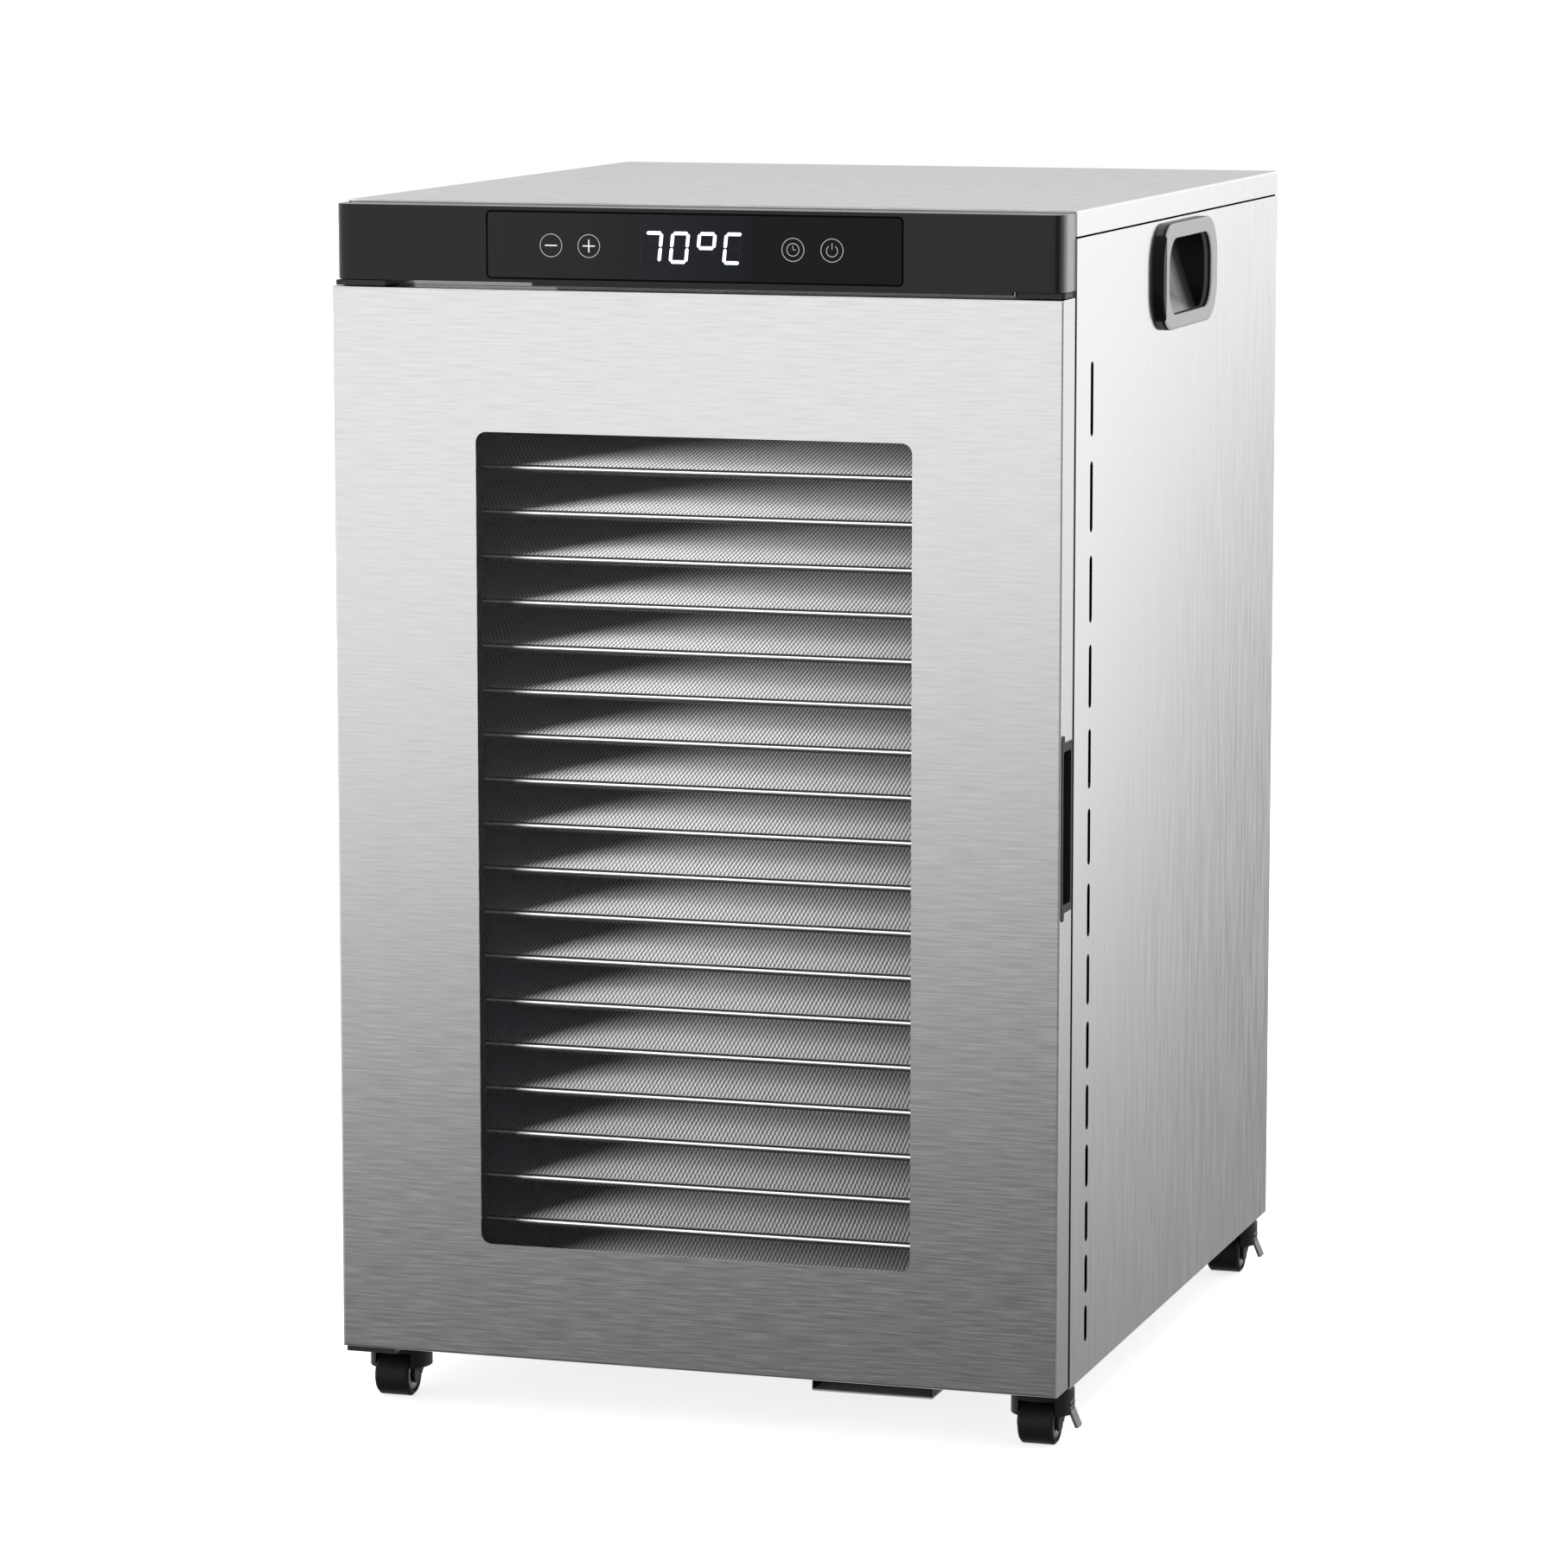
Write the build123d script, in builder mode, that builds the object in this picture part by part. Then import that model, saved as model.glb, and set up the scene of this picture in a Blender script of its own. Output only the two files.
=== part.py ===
"""Cabinet food dehydrator: a sheet steel case on casters, a glazed door and twenty mesh trays.

Millimetres. +X is to the right seen from the front, +Y to the back, +Z up.
The origin is the bottom centre of the whole object, with the door shut.
"""

import os
from math import cos, radians, sin

from build123d import *

os.makedirs("parts", exist_ok=True)

# Trays, which set the size of everything around them
tray_count = 20
tray_width = 400.0
tray_depth = 380.0
tray_stack_height = 540.0
tray_rim = 4.5
tray_corner = 8.0
mesh_thickness = 0.6
tray_side_clearance = 3.0
tray_setback = 8.0
tray_rear_gap = 6.0
tray_lift = 0.2
tray_first_rise = 23.45
tray_last_room = 29.05

# Case
sheet = 1.0
wall_space = 22.0
base_space = 25.0
head_space = 101.0
plenum_depth = 126.0
caster_height = 37.0
skirt = 15.0
seam = 1.2
cover_edge_radius = 1.5
base_upturn = 14.0
panel_return = 14.0
runner_reach = 10.0
runner_drop = 6.0

# Door
door_depth = 26.2
door_gap = 1.8
door_side_inset = 0.5
door_bottom_rise = 1.0
door_edge_radius = 1.5
window_stile = 90.0
window_bottom_rail = 69.7
window_top_rail = 84.5
window_radius = 6.5
glass_thickness = 4.0
glass_overlap = 12.0
collar_setback = 6.0
gasket_inset = 3.0
gasket_width = 8.0
gasket_squeeze_gap = 0.3
hinge_from_edge = 6.0
hinge_plate = 3.0
hinge_plate_clearance = 0.5
hinge_pin_radius = 3.0
hinge_pin_length = 14.0
hinge_plate_width = 31.0
hinge_flange_width = 15.0
hinge_flange_height = 12.0
hinge_flange_thickness = 1.5
hinge_block = 20.0
hinge_open_side = 6.0
pull_length = 94.0
pull_rise = 291.0
pull_pocket = 20.0
pull_wall = 2.0
pull_rim = 3.0
pull_rim_proud = 0.6
pull_tab_width = 6.0
pull_tab_reach = 7.5
pull_tab_radius = 2.0
running_clearance = 0.05

# Control head
control_gap = 4.0
control_height = 44.5
control_depth = 25.0
control_drop = 1.5
control_end_inset = 1.0
control_end_radius = 9.0
control_wall = 2.5
fascia_width = 254.0
fascia_height = 38.2
fascia_rise = 3.0
fascia_radius = 2.0
fascia_thickness = 2.0
fascia_gap = 1.15
fascia_ledge = 4.0
lip_from_left = 125.0
lip_from_right = 32.0
lip_height = 2.0
lip_depth = 4.0
lip_setback = 1.0
catch_width = 30.0
catch_depth = 22.0
catch_thickness = 3.2
catch_from_edge = 1.0
catch_clearance = 0.4
board_width = 200.0
board_height = 28.0
board_thickness = 1.6
display_width = 64.0
display_height = 22.0

# Side panel slots and carry handles
slot_count = 14
slot_width = 6.5
slot_setback = 36.7
slot_top_drop = 73.2
slot_bottom_rise = 21.0
slot_ratio = 0.948
slot_gap_share = 0.33
handle_length = 142.0
handle_height = 65.0
handle_radius = 25.0
handle_proud = 5.0
handle_drop = 34.8
grip_length = 112.0
grip_height = 47.0
grip_radius = 18.0
grip_depth = 38.0
grip_wall = 2.5
scoop_turn_rise = 5.0
scoop_belly_depth = 25.0
scoop_belly_drop = 12.0
scoop_lip_depth = 3.0

# Fan, motor and heaters behind the trays
fan_radius = 80.0
fan_hub_radius = 18.0
fan_hub_length = 22.0
fan_blades = 5
blade_root_chord = 26.0
blade_tip_chord = 58.0
blade_thickness = 1.6
blade_root_pitch = 48.0
blade_tip_pitch = 24.0
fan_baffle_gap = 24.0
shaft_radius = 4.0
shaft_length = 30.0
motor_radius = 31.0
motor_length = 40.0
motor_boss_radius = 14.0
bracket_sheet = 2.0
bracket_height = 64.0
bracket_span = 150.0
bracket_foot = 16.0
bracket_hub_gap = 4.0
heater_offset = 118.0
heater_length = 280.0
heater_width = 26.0
heater_depth = 18.0
heater_fins = 14
fin_thickness = 1.5
heater_core = 9.0
heater_foot = 12.0
intake_slots = 16
intake_inner_radius = 26.0
intake_outer_radius = 70.0
intake_slot_width = 7.0
outlet_slot_length = 46.0
outlet_slot_height = 8.0
outlet_slot_edge = 16.0
probe_radius = 3.0
probe_length = 42.0
probe_flange_radius = 8.0
probe_flange = 2.0
probe_side = 120.0
probe_drop = 12.0

# Back panel and mains inlet
vent_slots = 18
vent_inner_radius = 24.0
vent_outer_radius = 54.0
vent_slot_width = 5.0
inlet_width = 28.0
inlet_height = 22.0
inlet_wall = 2.0
inlet_depth = 18.0
inlet_proud = 2.0
inlet_flange = 4.0
inlet_from_edge = 75.0
inlet_rise = 60.0
pin_width = 2.0
pin_height = 4.0
pin_length = 12.0
pin_spacing = 7.0
pin_drop = 4.0
pin_step = 1.8

# Folded channel under the base
channel_from_edge = 87.0
channel_width = 75.0
channel_drop = 14.5
channel_depth = 60.0
channel_setback = 9.0

# Casters
caster_plate_width = 32.0
caster_plate_depth = 32.0
caster_plate_thickness = 2.0
caster_edge = 2.0
caster_side_inset = 21.0
caster_trail = 6.0
king_pin_radius = 4.0
king_head_radius = 6.5
king_head_height = 1.6
crown_gap = 0.6
crown_height = 6.4
crown_radius = 19.0
crown_bevel = 1.8
bowl_rim_drop = 16.0
bowl_curve_drop = 6.0
bowl_curve_pull = 1.2
wheel_radius = 13.5
wheel_width = 21.6
wheel_bevel = 1.5
wheel_recess = 2.0
wheel_recess_inner = 4.5
wheel_recess_outer = 10.5
wheel_gap = 0.5
fork_leg = 1.5
fork_leg_width = 16.0
fork_eye_radius = 5.5
axle_radius = 3.0
lever_pivot_out = 3.4
lever_pivot_rise = 11.0
lever_width = 10.0
lever_eye_radius = 2.4
lever_pin_radius = 1.5
lever_reach = 6.0
lever_fall = 14.0
lever_sheet = 1.8
ear_gap = 0.3
lever_headroom = 0.5

# Places worked out from the sizes above
cabinet_width = tray_width + 2 * (tray_side_clearance + wall_space)
chamber_width = tray_width + 2 * tray_side_clearance
tray_pitch = tray_stack_height / tray_count
chamber_depth = tray_setback + tray_depth + tray_rear_gap
cabinet_depth = chamber_depth + plenum_depth
chamber_height = tray_first_rise + tray_rim + (tray_count - 1) * tray_pitch + tray_last_room
cabinet_height = base_space + chamber_height + head_space
total_depth = door_depth + door_gap + cabinet_depth + inlet_proud

door_front_y = -total_depth / 2
door_back_y = door_front_y + door_depth
front_y = door_back_y + door_gap
back_y = front_y + cabinet_depth
middle_y = (front_y + back_y) / 2
frame_back_y = front_y + sheet
baffle_y = front_y + chamber_depth
baffle_back_y = baffle_y + sheet
back_panel_y = back_y - 2 * sheet
back_outer_y = back_y - sheet

base_z = caster_height
top_z = base_z + cabinet_height
panel_top_z = top_z - skirt - seam
chamber_floor_z = base_z + base_space
chamber_top_z = chamber_floor_z + chamber_height
chamber_mid_z = (chamber_floor_z + chamber_top_z) / 2
control_top_z = top_z - control_drop
control_base_z = control_top_z - control_height
door_base_z = base_z + door_bottom_rise
door_top_z = control_base_z - control_gap
door_height = door_top_z - door_base_z
door_mid_z = (door_base_z + door_top_z) / 2

side_x = cabinet_width / 2
inner_x = side_x - sheet
chamber_x = chamber_width / 2
door_width = cabinet_width - 2 * door_side_inset
door_x = door_width / 2
inlet_x = inlet_from_edge - side_x
window_width = door_width - 2 * window_stile
window_height = door_height - window_bottom_rail - window_top_rail
window_mid_z = door_base_z + window_bottom_rail + window_height / 2
hinge_x = -door_x + hinge_from_edge
hinge_y = (door_front_y + door_back_y) / 2
fan_z = chamber_mid_z
first_tray_z = chamber_floor_z + tray_first_rise


def front_plane(y, x=0, z=0):
    """Plane facing the front: sketch x is X, sketch y is Z, extrude goes to -Y."""
    return Plane(origin=(x, y, z), x_dir=(1, 0, 0), z_dir=(0, -1, 0))


def side_plane(x, y=0, z=0):
    """Plane facing the right side: sketch x is Y, sketch y is Z, extrude goes to +X."""
    return Plane(origin=(x, y, z), x_dir=(0, 1, 0), z_dir=(1, 0, 0))


def write(builder, name):
    """Label a finished piece and write it as one STEP file."""
    builder.part.label = name
    export_step(builder.part, f"parts/{name}.step")


# Base pan with upturned edges
with BuildPart() as base_pan:
    pan_depth = back_panel_y - frame_back_y
    with BuildSketch(Plane.XY.offset(base_z)):
        with Locations((0, frame_back_y + pan_depth / 2)):
            Rectangle(2 * inner_x, pan_depth)
    extrude(amount=base_upturn)
    offset(amount=-sheet, openings=base_pan.faces().sort_by(Axis.Z)[-1])
write(base_pan, "base_pan")

# Front frame round the chamber mouth, stepped in where the top cover's skirts come down
with BuildPart() as front_frame:
    with BuildSketch(front_plane(frame_back_y)):
        with Locations((0, (base_z + panel_top_z) / 2)):
            Rectangle(cabinet_width, panel_top_z - base_z)
        with Locations((0, (panel_top_z + top_z - sheet) / 2)):
            Rectangle(2 * (inner_x - cover_edge_radius), top_z - sheet - panel_top_z)
        with Locations((0, chamber_mid_z)):
            Rectangle(chamber_width, chamber_height, mode=Mode.SUBTRACT)
    extrude(amount=sheet)
write(front_frame, "front_frame")

# Side panels: a sheet with front and rear returns, graded slots and the carry handle's cut-out
slot_span = panel_top_z - slot_top_drop - base_z - slot_bottom_rise
slot_shares = [slot_ratio**i for i in range(slot_count)]
slot_first = slot_span / (sum(slot_shares) * (1 + slot_gap_share) - slot_shares[-1] * slot_gap_share)
handle_z = panel_top_z - handle_drop
for side, panel_name in ((-1, "left_side_panel"), (1, "right_side_panel")):
    with BuildPart() as side_panel:
        with BuildSketch(Plane.XY.offset(base_z)):
            with Locations((side * (side_x - sheet / 2), (frame_back_y + back_y) / 2)):
                Rectangle(sheet, back_y - frame_back_y)
            with Locations((side * (side_x - panel_return / 2), frame_back_y + sheet / 2)):
                Rectangle(panel_return, sheet)
            with Locations((side * (side_x - panel_return / 2), back_panel_y - sheet / 2)):
                Rectangle(panel_return, sheet)
        extrude(amount=panel_top_z - base_z)
        # The base pan's and the baffle's corners pass the returns
        with BuildSketch(Plane.XY.offset(base_z)):
            with Locations((side * (inner_x - panel_return / 2), middle_y)):
                Rectangle(panel_return, cabinet_depth - 2 * sheet)
        extrude(amount=base_upturn, mode=Mode.SUBTRACT)
        with BuildSketch(side_plane(side * side_x - sheet)):
            slot_top = panel_top_z - slot_top_drop
            for share in slot_shares:
                slot_length = slot_first * share
                with Locations((front_y + slot_setback, slot_top - slot_length / 2)):
                    SlotOverall(slot_length, slot_width, rotation=90)
                slot_top -= slot_length * (1 + slot_gap_share)
            with Locations((middle_y, handle_z)):
                RectangleRounded(grip_length + 2 * grip_wall, grip_height + 2 * grip_wall, grip_radius + grip_wall)
        extrude(amount=2 * sheet, mode=Mode.SUBTRACT)
    write(side_panel, panel_name)

# Back panel, set inside the side panels, with a ring of motor vents and the inlet's cut-out
inlet_z = base_z + inlet_rise
back_panel_height = cabinet_height - sheet - cover_edge_radius
with BuildPart() as back_panel:
    with BuildSketch(front_plane(back_outer_y)):
        with Locations((0, base_z + back_panel_height / 2)):
            Rectangle(2 * inner_x, back_panel_height)
        with Locations((0, fan_z)):
            with PolarLocations((vent_inner_radius + vent_outer_radius) / 2, vent_slots):
                SlotOverall(vent_outer_radius - vent_inner_radius, vent_slot_width, mode=Mode.SUBTRACT)
        with Locations((inlet_x, inlet_z)):
            Rectangle(inlet_width, inlet_height, mode=Mode.SUBTRACT)
    extrude(amount=sheet)
write(back_panel, "back_panel")

# Top cover: a lid with side and rear skirts, open towards the control head
with BuildPart() as top_cover:
    with BuildSketch(Plane.XY.offset(top_z - skirt)):
        with Locations((0, middle_y)):
            Rectangle(cabinet_width, cabinet_depth)
    extrude(amount=skirt)
    cover_top = top_cover.faces().sort_by(Axis.Z)[-1]
    fillet(cover_top.edges().sort_by(Axis.Y)[1:], cover_edge_radius)
    cover_open = [top_cover.faces().sort_by(Axis.Z)[0], top_cover.faces().sort_by(Axis.Y)[0]]
    offset(amount=-sheet, openings=cover_open)
write(top_cover, "top_cover")

# Chamber: a floor on two legs and a ceiling, then the two walls that carry the tray runners
with BuildPart() as chamber_plates:
    with BuildSketch(front_plane(baffle_y)):
        leg_foot_z = base_z + sheet
        with Locations((0, chamber_floor_z - sheet / 2)):
            Rectangle(chamber_width + 2 * sheet, sheet)
        for side in (-1, 1):
            with Locations((side * (chamber_x + sheet / 2), (leg_foot_z + chamber_floor_z) / 2)):
                Rectangle(sheet, chamber_floor_z - leg_foot_z)
        with Locations((0, chamber_top_z + sheet / 2)):
            Rectangle(chamber_width + 2 * sheet, sheet)
    extrude(amount=chamber_depth - 2 * sheet)
write(chamber_plates, "chamber_plates")

with BuildPart() as chamber_walls:
    with BuildSketch(front_plane(baffle_y)):
        for side in (-1, 1):
            with Locations((side * (chamber_x + sheet / 2), chamber_mid_z)):
                Rectangle(sheet, chamber_height)
    extrude(amount=chamber_depth - sheet)
write(chamber_walls, "chamber_walls")

# Tray runners: folded angles along the chamber walls, one under each side of each tray
with BuildPart() as tray_runners:
    with BuildSketch(front_plane(baffle_y)):
        for i in range(tray_count):
            ledge_z = first_tray_z + i * tray_pitch - tray_lift
            for side in (-1, 1):
                with Locations((side * (chamber_x - runner_reach / 2), ledge_z - sheet / 2)):
                    Rectangle(runner_reach, sheet)
                with Locations((side * (chamber_x - sheet / 2), ledge_z - runner_drop / 2)):
                    Rectangle(sheet, runner_drop)
    extrude(amount=chamber_depth - sheet)
write(tray_runners, "tray_runners")

# Air baffle between the trays and the fan: a round intake and rows of outlets at both sides
with BuildPart() as air_baffle:
    with BuildSketch(front_plane(baffle_back_y)):
        with Locations((0, chamber_mid_z)):
            Rectangle(chamber_width + 2 * sheet, chamber_height + 2 * sheet)
        with Locations((0, fan_z)):
            with PolarLocations((intake_inner_radius + intake_outer_radius) / 2, intake_slots):
                SlotOverall(intake_outer_radius - intake_inner_radius, intake_slot_width, mode=Mode.SUBTRACT)
        outlet_x = chamber_x - outlet_slot_edge - outlet_slot_length / 2
        for side in (-1, 1):
            with Locations((side * outlet_x, first_tray_z + tray_rim + (tray_count - 1) * tray_pitch / 2)):
                with GridLocations(outlet_slot_length, tray_pitch, 1, tray_count - 1):
                    Rectangle(outlet_slot_length, outlet_slot_height, mode=Mode.SUBTRACT)
    extrude(amount=sheet)
write(air_baffle, "air_baffle")

# Fan rotor with lofted blades and its shaft, which turns in the motor
fan_y = baffle_back_y + fan_baffle_gap
fan_back_y = fan_y + fan_hub_length
with BuildPart() as fan_rotor:
    with BuildSketch(front_plane(fan_back_y, 0, fan_z)):
        Circle(fan_hub_radius)
    extrude(amount=fan_hub_length)
    fillet(fan_rotor.edges().group_by(Axis.Y)[0], fan_hub_radius / 4)
    with BuildSketch(front_plane(fan_back_y + shaft_length, 0, fan_z)):
        Circle(shaft_radius)
    extrude(amount=shaft_length)
    for i in range(fan_blades):
        turn = radians(i * 360 / fan_blades)
        for radius, chord, pitch in (
            (fan_hub_radius * 0.8, blade_root_chord, blade_root_pitch),
            (fan_radius, blade_tip_chord, blade_tip_pitch),
        ):
            lean = radians(pitch)
            blade_plane = Plane(
                origin=(radius * cos(turn), fan_y + fan_hub_length / 2, fan_z + radius * sin(turn)),
                x_dir=(-sin(turn) * cos(lean), sin(lean), cos(turn) * cos(lean)),
                z_dir=(cos(turn), 0, sin(turn)),
            )
            with BuildSketch(blade_plane):
                Rectangle(chord, blade_thickness)
        loft()
write(fan_rotor, "fan_rotor")

# Motor bracket: a folded hat that stands on the back panel
bracket_y = fan_back_y + bracket_hub_gap
with BuildPart() as motor_bracket:
    with BuildSketch(Plane.XY.offset(fan_z - bracket_height / 2)):
        with Locations((0, bracket_y + bracket_sheet / 2)):
            Rectangle(bracket_span, bracket_sheet)
        for side in (-1, 1):
            leg_x = side * (bracket_span - bracket_sheet) / 2
            foot_x = side * (bracket_span + bracket_foot) / 2
            with Locations((leg_x, (bracket_y + back_panel_y) / 2)):
                Rectangle(bracket_sheet, back_panel_y - bracket_y)
            with Locations((foot_x, back_panel_y - bracket_sheet / 2)):
                Rectangle(bracket_foot, bracket_sheet)
    extrude(amount=bracket_height)
    with BuildSketch(front_plane(bracket_y + bracket_sheet, 0, fan_z)):
        Circle(motor_boss_radius)
    extrude(amount=bracket_sheet, mode=Mode.SUBTRACT)
write(motor_bracket, "motor_bracket")

# Motor behind the bracket, its boss through the bracket, bored for the shaft
motor_y = bracket_y + bracket_sheet
with BuildPart() as fan_motor:
    with BuildSketch(front_plane(motor_y + motor_length, 0, fan_z)):
        Circle(motor_radius)
    extrude(amount=motor_length)
    fillet(fan_motor.edges().group_by(Axis.Y)[-1], motor_radius / 6)
    with BuildSketch(front_plane(motor_y, 0, fan_z)):
        Circle(motor_boss_radius)
    extrude(amount=bracket_sheet)
    with BuildSketch(front_plane(fan_back_y + shaft_length + bracket_sheet, 0, fan_z)):
        Circle(shaft_radius + running_clearance)
    extrude(amount=shaft_length, mode=Mode.SUBTRACT)
write(fan_motor, "fan_motor")

# Two finned strip heaters beside the fan, their feet on the baffle
with BuildPart() as heating_elements:
    core_y = baffle_back_y + heater_foot
    fin_pitch = (heater_length - fin_thickness) / (heater_fins - 1)
    for side in (-1, 1):
        with BuildSketch(front_plane(core_y + (heater_depth + heater_core) / 2)):
            with Locations((side * heater_offset, fan_z)):
                Rectangle(heater_core, heater_length)
        extrude(amount=heater_core)
        with BuildSketch(front_plane(core_y + heater_depth)):
            with Locations((side * heater_offset, fan_z)):
                with GridLocations(heater_width, fin_pitch, 1, heater_fins):
                    Rectangle(heater_width, fin_thickness)
        extrude(amount=heater_depth)
        with BuildSketch(front_plane(core_y)):
            with Locations((side * heater_offset, fan_z)):
                with GridLocations(heater_width, heater_length - fin_thickness, 1, 2):
                    Rectangle(heater_core, fin_thickness)
        extrude(amount=heater_foot)
write(heating_elements, "heating_elements")

# Temperature probe through the baffle, above the top tray
with BuildPart() as temperature_probe:
    probe_plane = front_plane(baffle_y, probe_side, chamber_top_z - probe_drop)
    with BuildSketch(probe_plane):
        Circle(probe_flange_radius)
    extrude(amount=probe_flange)
    with BuildSketch(probe_plane):
        Circle(probe_radius)
    extrude(amount=probe_length)
    fillet(temperature_probe.edges().group_by(Axis.Y)[0], probe_radius * 0.8)
write(temperature_probe, "temperature_probe")

# Mains inlet: a rectangular socket with three blades
with BuildPart() as mains_inlet:
    inlet_back_y = back_y + inlet_proud
    with BuildSketch(front_plane(inlet_back_y, inlet_x, inlet_z)):
        RectangleRounded(inlet_width + 2 * inlet_flange, inlet_height + 2 * inlet_flange, inlet_flange)
    extrude(amount=inlet_back_y - back_outer_y)
    with BuildSketch(front_plane(back_outer_y, inlet_x, inlet_z)):
        Rectangle(inlet_width, inlet_height)
    extrude(amount=inlet_depth)
    with BuildSketch(front_plane(inlet_back_y, inlet_x, inlet_z)):
        Rectangle(inlet_width - 2 * inlet_wall, inlet_height - 2 * inlet_wall)
    extrude(amount=inlet_depth, mode=Mode.SUBTRACT)
    with BuildSketch(front_plane(inlet_back_y - inlet_depth + pin_length, inlet_x, inlet_z - pin_drop)):
        with GridLocations(2 * pin_spacing, 1, 2, 1):
            Rectangle(pin_width, pin_height)
        with Locations((0, pin_step)):
            Rectangle(pin_width, pin_height)
    extrude(amount=pin_length)
write(mains_inlet, "mains_inlet")


def finger_scoop(grow, reach):
    """Finger cup of the right handle, its outline grown by a wall: deep at the top, curving out to its lower lip."""
    half_height = grip_height / 2 + grow
    floor_x = grip_wall - grip_depth - grow
    slant = grow * cos(radians(45))
    with BuildPart() as scoop:
        with BuildSketch(side_plane(side_x + floor_x, middle_y, handle_z)):
            RectangleRounded(grip_length + 2 * grow, 2 * half_height, grip_radius + grow)
        extrude(amount=reach - floor_x)
        with BuildSketch(front_plane(middle_y + grip_length, side_x, handle_z)):
            with BuildLine():
                Polyline(
                    (-scoop_lip_depth - grow, -half_height),
                    (reach, -half_height),
                    (reach, half_height),
                    (floor_x, half_height),
                    (floor_x, scoop_turn_rise),
                )
                ThreePointArc(
                    (floor_x, scoop_turn_rise),
                    (-scoop_belly_depth - slant, -scoop_belly_drop - slant),
                    (-scoop_lip_depth - grow, -half_height),
                )
            make_face()
        extrude(amount=2 * grip_length, mode=Mode.INTERSECT)
    return scoop.part


# Carry handles: rounded bezels round a finger scoop, one on each side
with BuildPart() as carry_handles:
    with BuildSketch(side_plane(side_x, middle_y, handle_z)):
        RectangleRounded(handle_length, handle_height, handle_radius)
    extrude(amount=handle_proud)
    fillet(carry_handles.faces().sort_by(Axis.X)[-1].edges(), handle_proud / 3)
    add(finger_scoop(grip_wall, 0))
    add(finger_scoop(0, handle_proud), mode=Mode.SUBTRACT)
    mirror(about=Plane.YZ)
write(carry_handles, "carry_handles")

# Folded channel under the base, open to the front
with BuildPart() as base_channel:
    with BuildSketch(Plane.XY.offset(base_z - channel_drop)):
        channel_x = side_x - channel_from_edge - channel_width / 2
        with Locations((channel_x, front_y + channel_setback + channel_depth / 2)):
            Rectangle(channel_width, channel_depth)
    extrude(amount=channel_drop)
    channel_open = [base_channel.faces().sort_by(Axis.Z)[-1], base_channel.faces().sort_by(Axis.Y)[0]]
    offset(amount=-sheet, openings=channel_open)
write(base_channel, "base_channel")

# Control head: a moulded box on the case's front, open at the back, with a recess for the fascia
control_front_y = front_y - control_depth
control_mid_z = (control_base_z + control_top_z) / 2
fascia_mid_z = control_base_z + fascia_rise + fascia_height / 2
control_front_wall = fascia_thickness + control_wall
with BuildPart() as control_housing:
    with BuildSketch(front_plane(front_y, 0, control_mid_z)):
        Rectangle(cabinet_width - 2 * control_end_inset, control_height)
    extrude(amount=control_depth)
    fillet(control_housing.edges().filter_by(Axis.Z).group_by(Axis.Y)[0], control_end_radius)
    with BuildSketch(front_plane(front_y, 0, control_mid_z)):
        hollow_width = cabinet_width - 2 * (control_end_inset + control_end_radius)
        Rectangle(hollow_width, control_height - 2 * control_wall)
    extrude(amount=control_depth - control_front_wall, mode=Mode.SUBTRACT)
    with BuildSketch(front_plane(control_front_y + fascia_thickness, 0, fascia_mid_z)):
        RectangleRounded(fascia_width + 2 * fascia_gap, fascia_height + 2 * fascia_gap, fascia_radius + fascia_gap)
    extrude(amount=fascia_thickness, mode=Mode.SUBTRACT)
    with BuildSketch(front_plane(control_front_y + control_front_wall, 0, fascia_mid_z)):
        Rectangle(fascia_width - 2 * fascia_ledge, fascia_height - 4 * fascia_ledge)
    extrude(amount=control_front_wall, mode=Mode.SUBTRACT)
    with BuildSketch(Plane.XY.offset(control_base_z - lip_height)):
        lip_x = (lip_from_left - lip_from_right) / 2
        with Locations((lip_x, control_front_y + lip_setback + lip_depth / 2)):
            Rectangle(cabinet_width - lip_from_left - lip_from_right, lip_depth)
    extrude(amount=lip_height)
write(control_housing, "control_housing")

# Touch fascia in the recess
with BuildPart() as control_fascia:
    with BuildSketch(front_plane(control_front_y + fascia_thickness, 0, fascia_mid_z)):
        RectangleRounded(fascia_width, fascia_height, fascia_radius)
    extrude(amount=fascia_thickness)
write(control_fascia, "control_fascia")

# Door catch: a flat magnet block on the case's front, over the door's free corner
with BuildPart() as door_catch:
    with BuildSketch(Plane.XY.offset(door_top_z + catch_clearance)):
        catch_x = door_x - catch_from_edge - catch_width / 2
        with Locations((catch_x, front_y - catch_depth / 2)):
            Rectangle(catch_width, catch_depth)
    extrude(amount=catch_thickness)
    fillet(door_catch.edges().filter_by(Axis.Z).group_by(Axis.Y)[0], catch_thickness)
write(door_catch, "door_catch")

# Circuit board on the housing's front wall, with the display standing through the wall
with BuildPart() as control_board:
    board_y = control_front_y + control_front_wall
    with BuildSketch(front_plane(board_y + board_thickness, 0, fascia_mid_z)):
        Rectangle(board_width, board_height)
    extrude(amount=board_thickness)
    with BuildSketch(front_plane(board_y, 0, fascia_mid_z)):
        Rectangle(display_width, display_height)
    extrude(amount=control_wall)
write(control_board, "control_board")

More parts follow.
